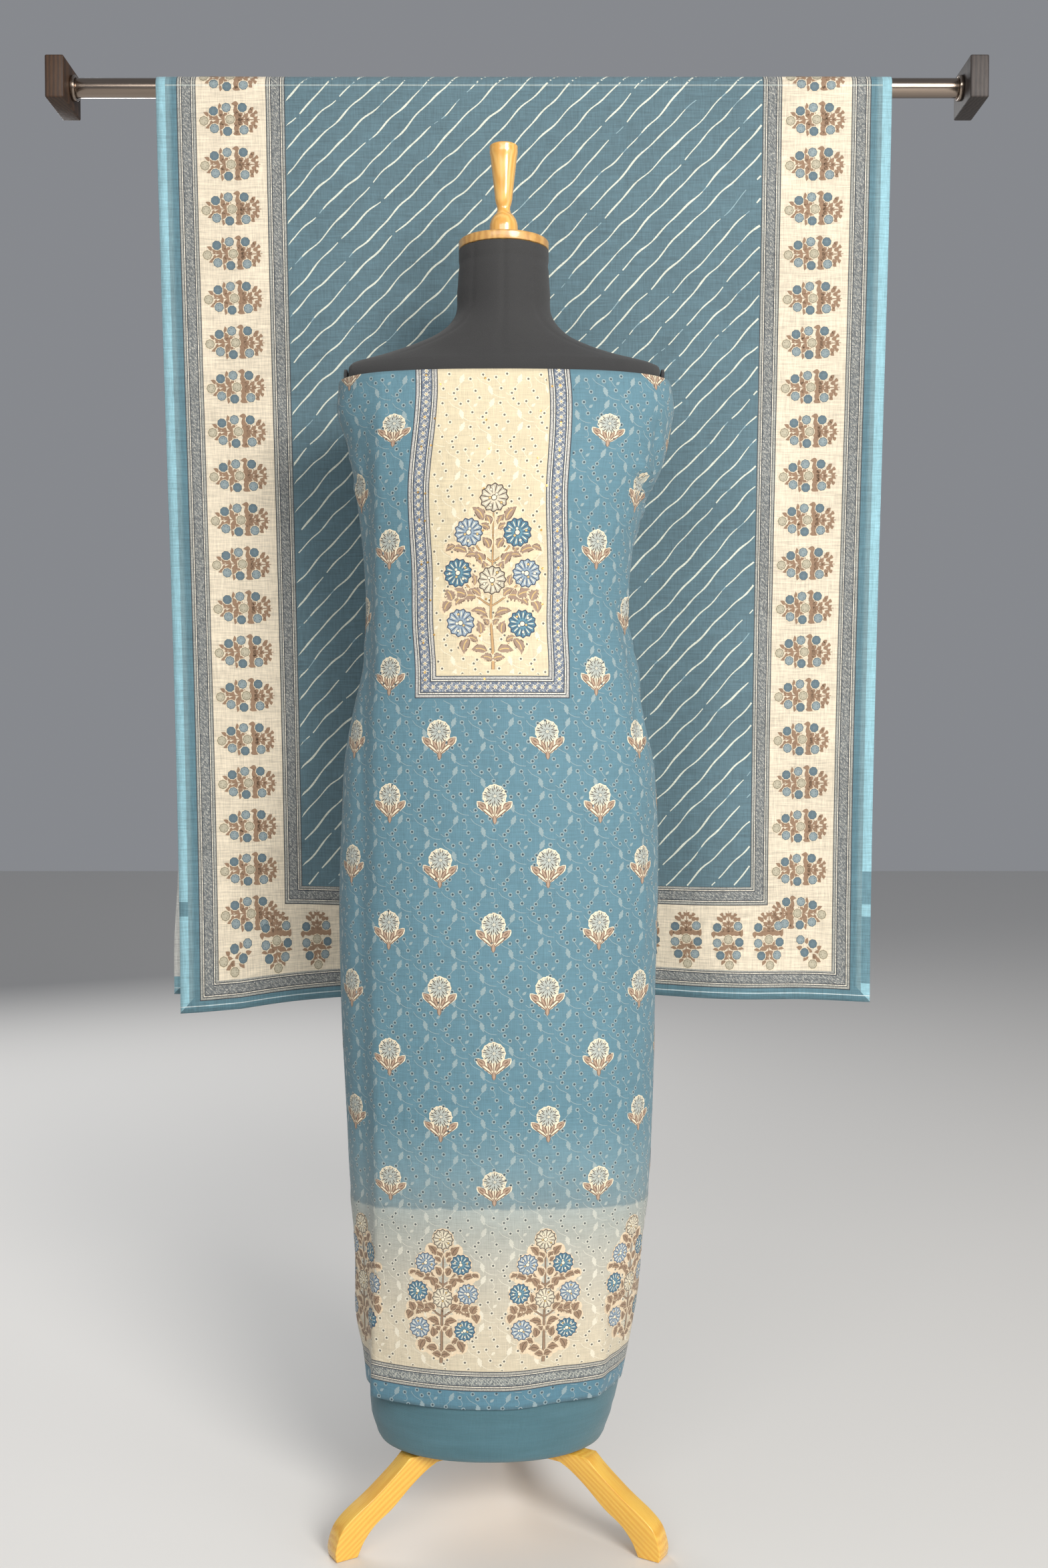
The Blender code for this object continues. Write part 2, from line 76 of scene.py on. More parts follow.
FORM_SHOULDERS = [
    (1.3100, 0.1770, 0.0068, 0.1000, 0.0930, 2.6), (1.3450, 0.1812, 0.0068, 0.0950, 0.0920, 2.8),
    (1.3800, 0.1860, 0.0068, 0.0880, 0.0890, 3.0), (1.4000, 0.1878, 0.0068, 0.0800, 0.0830, 2.8),
    (1.4071, 0.1872, 0.0064, 0.0760, 0.0790, 2.5), (1.4110, 0.1820, 0.0040, 0.0730, 0.0760, 2.3),
    (1.4191, 0.1520, 0.0020, 0.0690, 0.0720, 2.1), (1.4291, 0.1199, 0.0015, 0.0660, 0.0690, 2.0),
    (1.4408, 0.0897, 0.0030, 0.0640, 0.0670, 2.0), (1.4544, 0.0696, 0.0052, 0.0610, 0.0640, 2.0),
    (1.4656, 0.0608, 0.0058, 0.0580, 0.0600, 2.0), (1.5000, 0.0560, 0.0060, 0.0560, 0.0570, 2.0),
    (1.5313, 0.0543, 0.0062, 0.0543, 0.0543, 2.0), (1.5480, 0.0543, 0.0062, 0.0543, 0.0543, 2.0),
]

# Pressed crease of the kameez: height, how far it stands out
CREASE_RISE = [(0.17, 0.0150), (0.30, 0.0090), (0.50, 0.0060), (0.70, 0.0035), (0.95, 0.0035), (1.10, 0.0050),
               (1.28, 0.0050), (1.39, 0.0010)]
# Soft folds: place along the cloth, height, half length along, half length up, how far each stands out
SOFT_FOLDS = [
    (0.245, 1.2900, 0.022, 0.040, 0.0080), (-0.215, 1.3450, 0.030, 0.022, 0.0050),
    (0.115, 0.2300, 0.030, 0.120, 0.0060), (-0.020, 0.4180, 0.190, 0.016, -0.0022),
    (0.000, 0.3960, 0.160, 0.014, 0.0020), (-0.390, 0.7500, 0.030, 0.420, 0.0045),
    (0.360, 0.6000, 0.035, 0.380, 0.0040),
]
# Wrinkles of the kameez: from, to (along the cloth, up), half width, how far each stands out
WRINKLES = [
    (-0.235, 1.302, -0.178, 1.268, 0.0060, 0.0030), (-0.240, 1.285, -0.185, 1.250, 0.0050, -0.0016),
    (-0.230, 1.268, -0.190, 1.236, 0.0055, 0.0030), (0.150, 1.284, 0.236, 1.246, 0.0050, 0.0093),
    (0.160, 1.270, 0.238, 1.232, 0.0050, -0.0051), (0.176, 1.262, 0.240, 1.215, 0.0050, 0.0057),
    (0.186, 1.240, 0.236, 1.190, 0.0045, 0.0033), (0.190, 1.215, 0.225, 1.160, 0.0050, -0.0033),
    (0.170, 1.190, 0.196, 0.930, 0.0070, 0.0039), (0.150, 1.160, 0.172, 0.880, 0.0060, -0.0021),
    (0.135, 1.080, 0.150, 0.720, 0.0140, 0.0014), (0.196, 1.330, 0.226, 1.262, 0.0060, 0.0054),
    (0.180, 1.345, 0.200, 1.290, 0.0055, -0.0033), (0.158, 1.232, 0.205, 1.188, 0.0040, 0.0039),
    (0.164, 1.176, 0.186, 1.080, 0.0038, 0.0033), (0.182, 1.120, 0.206, 1.010, 0.0045, 0.0039),
    (0.196, 1.040, 0.214, 0.900, 0.0050, -0.0027), (0.156, 0.900, 0.176, 0.660, 0.0060, 0.0024),
    (0.105, 0.940, 0.118, 0.520, 0.0150, 0.0010), (-0.185, 1.130, -0.210, 1.050, 0.0080, 0.0016),
    (0.100, 0.330, 0.128, 0.178, 0.0110, 0.0042), (0.150, 0.300, 0.178, 0.178, 0.0100, -0.0012),
    (0.200, 0.360, 0.232, 0.178, 0.0110, 0.0030), (-0.215, 0.420, -0.245, 0.180, 0.0120, 0.0030),
    (-0.290, 1.240, -0.330, 1.050, 0.0120, 0.0030), (-0.420, 1.150, -0.400, 0.820, 0.0120, 0.0026),
    (0.300, 1.180, 0.330, 0.900, 0.0120, 0.0030), (0.420, 1.100, 0.405, 0.700, 0.0140, 0.0028),
    (0.470, 0.560, 0.480, 0.200, 0.0110, 0.0026), (-0.350, 0.520, -0.335, 0.190, 0.0130, 0.0030),
]
PRESSED_AT, CREASE_DIP = 0.4144, 0.30  # pressed crease across the front, and how it drops towards the sides

# The rod and the dupatta over it
RAIL_Y, RAIL_Z, RAIL_RADIUS = FORM_Y + 0.201, 1.8205, 0.0125
DUPATTA_WALL, DUPATTA_CUT, DUPATTA_X = 0.0012, 0.970, 0.009
FRONT_FALL_Z, BACK_FALL_Z = 0.610, 0.614
DUPATTA_WAVE, WAVE_LENGTH = 0.012, 0.250
PLATE_INNER_X, PLATE_SIZE = 0.5895, (0.0245, 0.085, 0.055)
FLANGE_RADIUS, FLANGE_DEPTH = 0.0165, 0.006

# Turned pieces: height, radius
NECK_CAP = [(1.5484, 0.0520), (1.5495, 0.0543), (1.5580, 0.0545), (1.5598, 0.0530)]
FINIAL = [
    (1.5602, 0.0140), (1.5640, 0.0165), (1.5720, 0.0172), (1.5840, 0.0160), (1.5905, 0.0125),
    (1.5940, 0.0093), (1.6100, 0.0104), (1.6350, 0.0132), (1.6580, 0.0158), (1.6700, 0.0169),
    (1.6752, 0.0150), (1.6772, 0.0090),
]
BASE_DISC = [(0.1031, 0.0830), (0.1045, 0.0850), (0.1160, 0.0850), (0.1175, 0.0830)]
LEG_UPPER = [(0.0600, 0.1027), (0.1290, 0.1027), (0.1444, 0.0889), (0.1744, 0.0663), (0.2040, 0.0472),
             (0.2183, 0.0329), (0.2250, 0.0130), (0.2240, 0.0)]
LEG_LOWER = [(0.0600, 0.0905), (0.0920, 0.0900), (0.1061, 0.0830), (0.1265, 0.0687), (0.1513, 0.0475),
             (0.1740, 0.0327), (0.1884, 0.0166), (0.1970, 0.0)]
LEG_WIDTH = 0.025
LEG_DIRECTIONS = {"leg_right": -30.0, "leg_left": -150.0, "leg_rear": 90.0}


# The viewer: place, focal length in millimetres, how many degrees the view dips
CAMERA_PLACE, CAMERA_LENS, CAMERA_DIP = (0.0092, FORM_Y - 2.0, 0.975), 37.61, 2.0


def linked(name, data):
    """A new object of the scene that carries this data."""
    made = bpy.data.objects.new(name, data)
    bpy.context.collection.objects.link(made)
    return made


def add_camera():
    data = bpy.data.cameras.new("camera")
    data.sensor_width = 36.0
    data.lens = CAMERA_LENS
    camera = linked("camera", data)
    camera.location = CAMERA_PLACE
    camera.rotation_euler = (math.radians(90.0 - CAMERA_DIP), 0.0, 0.0)
    bpy.context.scene.camera = camera
    bpy.context.scene.view_settings.view_transform = "Standard"


def dye(red, green, blue):
    """A paint-chip colour of 0 to 255 as the shader's own red, green, blue and 1."""
    return tuple(((c / 255.0 + 0.055) / 1.055) ** 2.4 if c > 10 else c / 255.0 / 12.92
                 for c in (red, green, blue)) + (1.0,)


class Number:
    """One varying number of a material. An expression on such numbers adds its Math nodes."""

    def __init__(self, finish, socket):
        self.finish, self.socket = finish, socket

    def math(self, operation, *others):
        inputs = dict(enumerate((self, *others)))
        return self.finish.node("ShaderNodeMath", {"operation": operation}, inputs, 0)

    def __add__(self, other):
        return self.math("ADD", other)

    def __mul__(self, other):
        return self.math("MULTIPLY", other)

    def __sub__(self, other):
        return self.math("SUBTRACT", other)

    def __truediv__(self, other):
        return self.math("DIVIDE", other)

    def __rsub__(self, other):
        return self.math("MULTIPLY", -1.0).math("ADD", other)

    __radd__, __rmul__ = __add__, __mul__

    def lowest(self, other):
        return self.math("MINIMUM", other)

    def highest(self, other):
        return self.math("MAXIMUM", other)

    def above(self, edge, soft=0.0002):
        """0 below an edge and 1 above it, with a soft step between."""
        return self.finish.node("ShaderNodeMapRange", {"interpolation_type": "SMOOTHSTEP"},
                                {"Value": self, "From Min": edge - soft, "From Max": edge + soft}, 0)

    def below(self, edge, soft=0.0002):
        return 1.0 - self.above(edge, soft)

    def between(self, low, high, soft=0.0002):
        """1 between two edges and 0 beyond them."""
        return self.above(low, soft) * self.below(high, soft)


class Finish:
    """A material and the nodes that make it."""

    def __init__(self, name, roughness=0.8, **fixed):
        self.material = bpy.data.materials.new(name)
        self.material.use_nodes = True
        self.tree = self.material.node_tree
        self.shader = self.tree.nodes["Principled BSDF"]
        self.set("Roughness", roughness)
        for key, value in fixed.items():
            self.set(key.replace("_", " "), value)

    def set(self, key, value):
        target = self.shader.inputs[key]
        if isinstance(value, Number):
            self.tree.links.new(value.socket, target)
        elif isinstance(value, bpy.types.NodeSocket):
            self.tree.links.new(value, target)
        else:
            target.default_value = value

    def node(self, kind, settings=None, inputs=None, output=None):
        """A node with its settings, then its sockets' values or links; given an output, that number."""
        made = self.tree.nodes.new(kind)
        for key, value in (settings or {}).items():
            if key == "stops":
                made.color_ramp.elements.remove(made.color_ramp.elements[1])
                for index, (place, colour) in enumerate(value):
                    ramp = made.color_ramp.elements
                    stop = ramp[0] if index == 0 else ramp.new(place)
                    stop.position, stop.color = place, colour
            elif key == "interpolation":
                made.color_ramp.interpolation = value
            else:
                setattr(made, key, value)
        for key, value in (inputs or {}).items():
            if isinstance(value, Number):
                value = value.socket
            if isinstance(value, bpy.types.NodeSocket):
                self.tree.links.new(value, made.inputs[key])
            else:
                made.inputs[key].default_value = value
        return made if output is None else Number(self, made.outputs[output])

    def mix(self, factor, first, second, blend="MIX"):
        settings = {"data_type": "RGBA", "blend_type": blend}
        return self.node("ShaderNodeMix", settings, {0: factor, 6: first, 7: second}).outputs[2]

    def ramp(self, factor, stops, interpolation="LINEAR"):
        settings = {"stops": stops, "interpolation": interpolation}
        return self.node("ShaderNodeValToRGB", settings, {0: factor}).outputs[0]

    def scaled(self, vector, scale, turn=(0.0, 0.0, 0.0)):
        return self.node("ShaderNodeMapping", None, {0: vector, "Scale": scale, "Rotation": turn}).outputs[0]

    def flat_place(self):
        """Where a point lies on its flat cloth: metres along it and up it."""
        return self.node("ShaderNodeUVMap", {"uv_map": "cloth"}).outputs[0]

    def solid_place(self):
        return self.node("ShaderNodeTexCoord").outputs["Object"]

    def split(self, vector):
        """A flat place as two numbers, along the cloth and up it."""
        spot = self.node("ShaderNodeSeparateXYZ", None, {0: vector})
        return Number(self, spot.outputs[0]), Number(self, spot.outputs[1])

    def noise(self, vector, scale, detail=2.0, roughness=0.5):
        inputs = {"Vector": vector, "Scale": scale, "Detail": detail, "Roughness": roughness}
        return self.node("ShaderNodeTexNoise", None, inputs, 0)

    def bump(self, height, distance, strength=1.0, before=None):
        inputs = {"Height": height, "Distance": distance, "Strength": strength}
        if before is not None:
            inputs["Normal"] = before
        return self.node("ShaderNodeBump", None, inputs).outputs[0]


def woven(finish, colour, where, slub=0.16, thread=0.0011, pucker=0.0012):
    """Gives a woven look: slubbed threads both ways in the colour and in the height."""
    weft = finish.noise(finish.scaled(where, (55.0, 900.0, 1.0)), 1.0, 3.0, 0.6)
    warp = finish.noise(finish.scaled(where, (900.0, 55.0, 1.0)), 1.0, 3.0, 0.6)
    cloudy = finish.noise(where, 9.0, 4.0)
    slubs = finish.noise(finish.scaled(where, (26.0, 430.0, 1.0)), 1.0, 2.0)
    slubs = slubs + finish.noise(finish.scaled(where, (430.0, 26.0, 1.0)), 1.0, 2.0) * 0.6
    lightness = 1.0 + (weft + warp - 1.0) * (2.2 * slub) + (cloudy - 0.5) * (1.2 * slub)
    lightness = lightness + (slubs - 0.8) * (2.0 * slub)
    grey = finish.node("ShaderNodeCombineColor", None, {0: lightness, 1: lightness, 2: lightness}).outputs[0]
    finish.set("Base Color", finish.mix(1.0, colour, grey, "MULTIPLY"))
    threads = []
    for index in (0, 1):
        settings = {"wave_type": "BANDS", "bands_direction": "XY"[index], "wave_profile": "SIN"}
        inputs = {"Vector": where, "Scale": 0.314 / thread, "Distortion": 0.6, "Detail": 1.0}
        threads.append(finish.node("ShaderNodeTexWave", settings, inputs, 1))
    height = threads[0] * threads[1] * 0.35 + (weft + warp) * 0.5
    crumpled = finish.bump(finish.noise(finish.scaled(where, (58.0, 40.0, 1.0)), 1.0, 2.0), pucker, 0.5)
    finish.set("Normal", finish.bump(height, 0.0009, 0.55, crumpled))
    finish.set("Roughness", 0.74 + (weft - 0.5) * 0.3)


def smooth_step(value):
    value = np.clip(value, 0.0, 1.0)
    return value * value * (3.0 - 2.0 * value)


def table_at(table, height):
    """The table's other columns at a height, on a smooth curve through its rows."""
    rows = np.array(table)
    heights, values = rows[:, 0], rows[:, 1:]
    slopes = np.gradient(values, heights, axis=0)
    height = float(np.clip(height, heights[0], heights[-1]))
    low = int(np.clip(np.searchsorted(heights, height) - 1, 0, len(heights) - 2))
    span = heights[low + 1] - heights[low]
    t = (height - heights[low]) / span
    return (
        (2 * t**3 - 3 * t**2 + 1) * values[low]
        + (t**3 - 2 * t**2 + t) * span * slopes[low]
        + (3 * t**2 - 2 * t**3) * values[low + 1]
        + (t**3 - t**2) * span * slopes[low + 1]
    )


def loop_points(row, samples=1440):
    """A rounded closed outline in plan, from the middle of the front to the right, and its running length."""
    half_width, shift, front, behind, squareness = row
    turn = np.linspace(-math.pi, math.pi, samples + 1)
    power = 2.0 / squareness
    across, along = np.sin(turn), -np.cos(turn)
    depth = np.where(along < 0.0, front, behind)
    x = FORM_X + shift + half_width * np.sign(across) * np.abs(across) ** power
    y = FORM_Y + depth * np.sign(along) * np.abs(along) ** power
    steps = np.hypot(np.diff(x), np.diff(y))
    length = np.concatenate([[0.0], np.cumsum(steps)])
    return x, y, length - length[-1] / 2.0


def on_loop(row, along, out):
    """Points at signed lengths along an outline, moved outwards; a length past the back goes on round."""
    x, y, length = loop_points(row)
    around = 2.0 * length[-1]

    def spot(at):
        wrapped = (at + length[-1]) % around - length[-1]
        return np.stack([np.interp(wrapped, length, x), np.interp(wrapped, length, y)], axis=-1)

    along = np.asarray(along)
    step = spot(along + 0.004) - spot(along - 0.004)
    step /= np.linalg.norm(step, axis=-1, keepdims=True)
    outward = np.stack([step[..., 1], -step[..., 0]], axis=-1)
    return spot(along) + outward * np.asarray(out)[..., None]


def half_loop(row):
    return loop_points(row)[2][-1]


def lap(along, half_around, half_cut, lift):
    """How far the cloth's right end is lifted, so that it lies over its left end at the back."""
    return lift * smooth_step((along - (2.0 * half_around - half_cut) + 0.075) / 0.060)


def kameez_folds(along, height):
    """How far the kameez stands out from the plain outline: pressed crease, soft folds and wrinkles."""
    side = along - CREASE_AT
    out = float(table_at(CREASE_RISE, height)[0]) * np.exp(-np.abs(side) / np.where(side > 0.0, 0.045, 0.014))
    out = out - 0.0030 * np.exp(-((side + 0.026) / 0.014) ** 2) * smooth_step((KAMEEZ_TOP - height) / 0.15)
    for place, level, half_along, half_up, amount in SOFT_FOLDS:
        away = ((along - place) / half_along) ** 2 + ((height - level) / half_up) ** 2
        out = out + amount * np.exp(-away)
    for x1, z1, x2, z2, half_width, amount in WRINKLES:
        run = np.array([x2 - x1, z2 - z1])
        share = ((along - x1) * run[0] + (height - z1) * run[1]) / (run @ run)
        away = ((along - x1) * run[1] - (height - z1) * run[0]) / math.hypot(*run)
        bend = 0.10 * math.hypot(*run) * np.sin(share * math.pi)
        ends = smooth_step(share / 0.35) * smooth_step((1.0 - share) / 0.35) if z2 > 0.19 \
            else smooth_step(share / 0.6)
        out = out + amount * ends * np.exp(-((away + bend) / half_width) ** 2)
    pressed_crease_and_painted_sheen = smooth_step((0.30 - np.abs(along)) / 0.10) * np.exp(
        -np.abs(height + CREASE_DIP * along ** 2 - PRESSED_AT) / 0.006)
    slack = (np.sin(41.0 * along + 6.0 * height) + np.sin(23.0 * along - 11.0 * height + 1.0)
             + np.sin(67.0 * along + 17.0 * height + 2.0) * 0.5)
    return out + 0.0009 * pressed_crease_and_painted_sheen + 0.00035 * slack


class Cloth:
    """A cloth as a grid of places, so that what is printed or sewn on it follows its folds."""

    def __init__(self, along, up, points):
        self.along, self.up, self.points = np.asarray(along), np.asarray(up), points
        normals = np.cross(np.gradient(points, axis=1), np.gradient(points, axis=0))
        self.normals = normals / np.linalg.norm(normals, axis=-1, keepdims=True)

    def at(self, x, y, lift):
        """Places and outward directions at lengths along and up the cloth, lifted off its face."""
        columns, rows = len(self.along), len(self.up)
        column = np.interp(x, self.along, np.arange(columns))
        row = np.interp(y, self.up, np.arange(rows))
        c, r = np.minimum(column.astype(int), columns - 2), np.minimum(row.astype(int), rows - 2)
        s, t = (column - c)[:, None], (row - r)[:, None]
        found = []
        for grid in (self.points, self.normals):
            low = grid[r, c] * (1 - s) + grid[r, c + 1] * s
            high = grid[r + 1, c] * (1 - s) + grid[r + 1, c + 1] * s
            found.append(low * (1 - t) + high * t)
        return found[0] + found[1] * np.asarray(lift)[:, None], found[1]

    def sheet(self, name, wall):
        """The cloth as a mesh with its thickness inwards, and its own lengths as its UV map."""
        rows, columns = self.points.shape[:2]
        index = np.arange(rows * columns).reshape(rows, columns)
        corners = [index[:-1, :-1], index[:-1, 1:], index[1:, 1:], index[1:, :-1]]
        faces = np.stack(corners, axis=-1).reshape(-1, 4)
        mesh = bpy.data.meshes.new(name)
        mesh.from_pydata(self.points.reshape(-1, 3), [], faces.tolist())
        across, rising = np.meshgrid(self.along, self.up)
        flat = np.stack([across.ravel(), rising.ravel()], axis=-1)
        flat_corners = flat[faces.ravel()].astype(np.float32)
        mesh.uv_layers.new(name="cloth").data.foreach_set("uv", flat_corners.ravel())
        mesh.shade_smooth()
        piece = linked(name, mesh)
        thicken = piece.modifiers.new("wall", "SOLIDIFY")
        thicken.thickness, thicken.offset = wall, -1.0
        apply_modifier(piece, thicken)
        return piece


def only(piece):
    """Makes a piece the one that is selected and worked on."""
    bpy.ops.object.select_all(action="DESELECT")
    piece.select_set(True)
    bpy.context.view_layer.objects.active = piece


def apply_modifier(piece, modifier):
    only(piece)
    bpy.ops.object.modifier_apply(modifier=modifier.name)


def put_on(piece, material, slot, *nodes):
    """Gives a finished piece its material, hangs it under the root body, and hides the solids of the model
    that it stands for.
    """
    piece.data.materials.clear()
    piece.data.materials.append(material)
    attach(piece, "root")
    if nodes:
        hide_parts(*nodes)
    return piece


RING_WIDTH = 7.0  # millimetres of flat shape that still follow the cloth
EDGE_LINE = 1.9  # millimetres that a leaf's outline adds to its width


class Drawing:
    """Flat printed or sewn shapes in millimetres, each with its colour and its layer above the cloth."""

    def __init__(self):
        self.spots, self.colours, self.layers, self.faces = [], [], [], []

    def _add(self, spots, colours, layer, faces):
        start = sum(len(group) for group in self.spots)
        self.spots.append(np.asarray(spots, complex))
        self.colours.append(np.array(colours))
        self.layers.append(np.full(len(spots), float(layer)))
        self.faces.append(np.asarray(faces) + start)

    def fan(self, middle, rim, layer, colour, rim_colour=None, hole=0.0):
        """A filled outline, run anticlockwise, in rings narrow enough to follow the cloth's curve.
        With a hole it is one ring, for a shape whose middle another one covers."""
        rim = np.asarray(rim)
        count = len(rim)
        if hole:
            near = np.arange(count)
            after = (near + 1) % count
            faces = np.concatenate([np.stack([near, near + count, after + count], axis=-1),
                                    np.stack([near, after + count, after], axis=-1)])
            inner_rim = middle + (rim - middle) * hole
            self._add(np.concatenate([inner_rim, rim]), [colour] * (2 * count), layer, faces)
            return
        rings = max(1, math.ceil(np.abs(rim - middle).max() / RING_WIDTH))
        spots, colours, faces = [middle], [colour], []
        for ring in range(1, rings + 1):
            share = ring / rings
            spots += list(middle + (rim - middle) * share)
            tone = tuple(a + (b - a) * share for a, b in zip(colour, rim_colour or colour))
            colours += [tone] * count
            low, high = 1 + (ring - 2) * count, 1 + (ring - 1) * count
            for i in range(count):
                j = (i + 1) % count
                if ring == 1:
                    faces.append((0, high + i, high + j))
                else:
                    faces += [(low + i, high + i, high + j), (low + i, high + j, low + j)]
        self._add(spots, colours, layer, faces)

    def stroke(self, path, width, layer, colour):
        """A line of some width along a path, thinner at its ends where width is a list."""
        path = np.asarray(path, complex)
        width = np.broadcast_to(np.asarray(width, float), path.shape)
        run = np.concatenate([[0.0], np.cumsum(np.abs(np.diff(path)))])
        fine = np.concatenate([np.linspace(a, b, max(1, math.ceil((b - a) / RING_WIDTH)), endpoint=False)
                               for a, b in zip(run, run[1:])] + [run[-1:]])
        path = np.interp(fine, run, path.real) + 1j * np.interp(fine, run, path.imag)
        way = np.gradient(path)
        side = 1j * way / np.maximum(np.abs(way), 1e-9) * np.interp(fine, run, width) / 2.0
        count = len(path)
        faces = []
        for i in range(count - 1):
            faces += [(count + i, i + 1, i), (count + i, count + i + 1, i + 1)]
        self._add(np.concatenate([path + side, path - side]), [colour] * (2 * count), layer, faces)

    def disc(self, middle, radius, layer, colour, rim_colour=None, sides=14, points=0, sharp=0.0, turn=0.0,
             hole=0.0):
        """A round shape, or a scalloped one with so many points, each out by a share of its radius."""
        angle = np.arange(sides) / sides * 2.0 * math.pi + turn
        rim = middle + radius * (1.0 + sharp * np.cos(points * (angle - turn))) * np.exp(1j * angle)
        self.fan(middle, rim, layer, colour, rim_colour, hole)

    def leaf(self, foot, tip, width, layer, colour, edge=None, vein=None, bend=0.0, teeth=0, hole=0.0):
        """A pointed leaf from foot to tip, with an edge line round it and a vein if they have colours."""
        share = np.linspace(0.0, 1.0, 2 * teeth + 3 if teeth else 9 if abs(tip - foot) > 10.0 else 7)
        swell = np.sin(math.pi * share ** 0.8)
        if teeth:
            swell = swell * np.where(np.arange(len(share)) % 2 == 1, 1.12, 0.78)
        run = tip - foot
        spine = foot + run * (share + 1j * bend * np.sin(math.pi * share))
        across = 1j * run / abs(run) * width / 2.0
        for grow, level, tone, gap in ((1.0 + EDGE_LINE / width, layer, edge, 0.5),
                                       (1.0, layer + 1, colour, hole)):
            if tone:
                left, right = spine + across * swell * grow, spine - across * swell * grow
                middle = spine[len(spine) // 2]
                reach = 0.5 * (grow - 1.0) * width / abs(run)
                outline = np.concatenate([right, left[-2:0:-1]])
                outline = middle + (outline - middle) * (1.0 + reach)
                self.fan(middle, outline, level, tone, hole=gap)
        if vein:
            self.stroke(spine[1:-2], min(width * 0.14, 1.2), layer + 2, vein)

    def flower(self, middle, radius, layer, petals, line, heart, count=10, turn=0.0):
        """A round flower from above: spiky dark rim, striped petals and a heart of small beads."""
        shape = {"sides": 4 * count, "points": count, "turn": turn}
        self.disc(middle, radius * 1.02, layer, line, sharp=0.07, hole=0.8, **shape)
        self.disc(middle, radius * 0.93, layer + 1, heart, petals, sharp=0.06, **shape)
        for i in range(2 * count):
            way = np.exp(1j * (turn + math.pi * (i + 0.5) / count))
            reach = np.array([0.34, 0.66, 0.97]) if i % 2 else np.array([0.46, 0.70, 0.84])
            tone = line if i % 2 else PALE_CREAM
            self.stroke(middle + radius * reach * way, radius * np.array([0.03, 0.08, 0.05]), layer + 2, tone)
        for i, (share, angle, size) in enumerate(BEADS):
            spot = middle + radius * share * np.exp(1j * (turn + angle))
            self.disc(spot, radius * size * 1.35, layer + 3, line, sides=8)
            self.disc(spot, radius * size, layer + 4, GOLD if i % 3 == 2 else PALE_CREAM, sides=7)

    def joined(self):
        return (np.concatenate(self.spots), np.concatenate(self.colours), np.concatenate(self.layers),
                np.concatenate(self.faces))


class Print:
    """All the drawings that one cloth carries, gathered into one thin mesh on its face."""

    def __init__(self, cloth, base_lift=0.00012, layer_lift=0.000035):
        self.cloth, self.base_lift, self.layer_lift = cloth, base_lift, layer_lift
        self.spots, self.colours, self.lifts, self.faces = [], [], [], []
        self.count = 0

    def put(self, drawing, x, y, turn=0.0, mirrored=False, size=1.0):
        spots, colours, layers, faces = drawing.joined() if isinstance(drawing, Drawing) else drawing
        if mirrored:
            spots, faces = -spots.conjugate(), faces[:, ::-1]
        self.spots.append(spots * (0.001 * size * np.exp(1j * turn)) + (x + 1j * y))
        self.colours.append(colours)
        self.lifts.append(self.base_lift + self.layer_lift * layers)
        self.faces.append(faces + self.count)
        self.count += len(spots)

    def make(self, name, inside=None):
        """The mesh. Faces outside the cloth, or where inside(x, y) is false, are left out."""
        spots, faces = np.concatenate(self.spots), np.concatenate(self.faces)
        cloth = self.cloth
        along, up = cloth.along[[0, -1]], cloth.up[[0, -1]]
        on_cloth = ((spots.real > along[0]) & (spots.real < along[1])
                    & (spots.imag > up[0]) & (spots.imag < up[1]))
        x, y = np.clip(spots.real, *along), np.clip(spots.imag, *up)
        kept = on_cloth[faces].any(axis=1)
        if inside is not None:
            kept &= inside(x, y)[faces].all(axis=1)
        faces = faces[kept]
        used, faces = np.unique(faces, return_inverse=True)
        faces = faces.reshape(-1, 3)
        places, normals = cloth.at(x[used], y[used], np.concatenate(self.lifts)[used])
        self.kept = x[used] + 1j * y[used]
        mesh = bpy.data.meshes.new(name)
        mesh.from_pydata(places, [], faces.tolist())
        flat = np.stack([x[used], y[used]], axis=-1)[faces.ravel()]
        mesh.uv_layers.new(name="cloth").data.foreach_set("uv", flat.astype(np.float32).ravel())
        tint = mesh.color_attributes.new("dye", "FLOAT_COLOR", "POINT")
        tint.data.foreach_set("color", np.concatenate(self.colours)[used].astype(np.float32).ravel())
        mesh.shade_smooth()
        mesh.normals_split_custom_set_from_vertices(normals.astype(np.float32))
        return linked(name, mesh)


# Beads at a flower's heart and round it: share of its radius, angle, size against the radius
BEADS = ((0.0, 0.0, 0.17), (0.28, 0.9, 0.10), (0.30, 3.2, 0.09), (0.62, 2.0, 0.09), (0.60, 4.3, 0.10),
         (0.66, 5.7, 0.09))

# Dyes of the printed and sewn patterns
CREAM, PALE_CREAM = dye(226, 212, 184), dye(240, 230, 204)
TAUPE, DARK_LINE, GOLD = dye(150, 124, 100), dye(82, 70, 62), dye(214, 184, 122)
LEAF_LINE = dye(104, 84, 68)
FLOWER_GREY = dye(158, 164, 158)
SOFT_BROWN, HEAD_RIM, CALYX_BROWN = dye(146, 118, 94), dye(90, 106, 114), dye(128, 104, 86)
CALYX_FILL = dye(178, 152, 130)
BUTA_CREAM, ROSE_TAUPE, GOLD_BROWN = dye(238, 224, 196), dye(160, 136, 118), dye(196, 158, 112)
SCROLL_GREY = dye(186, 188, 178)
THREAD, HOLE = (1.0, 1.0, 1.0, 1.0), (0.0, 0.0, 0.0, 1.0)


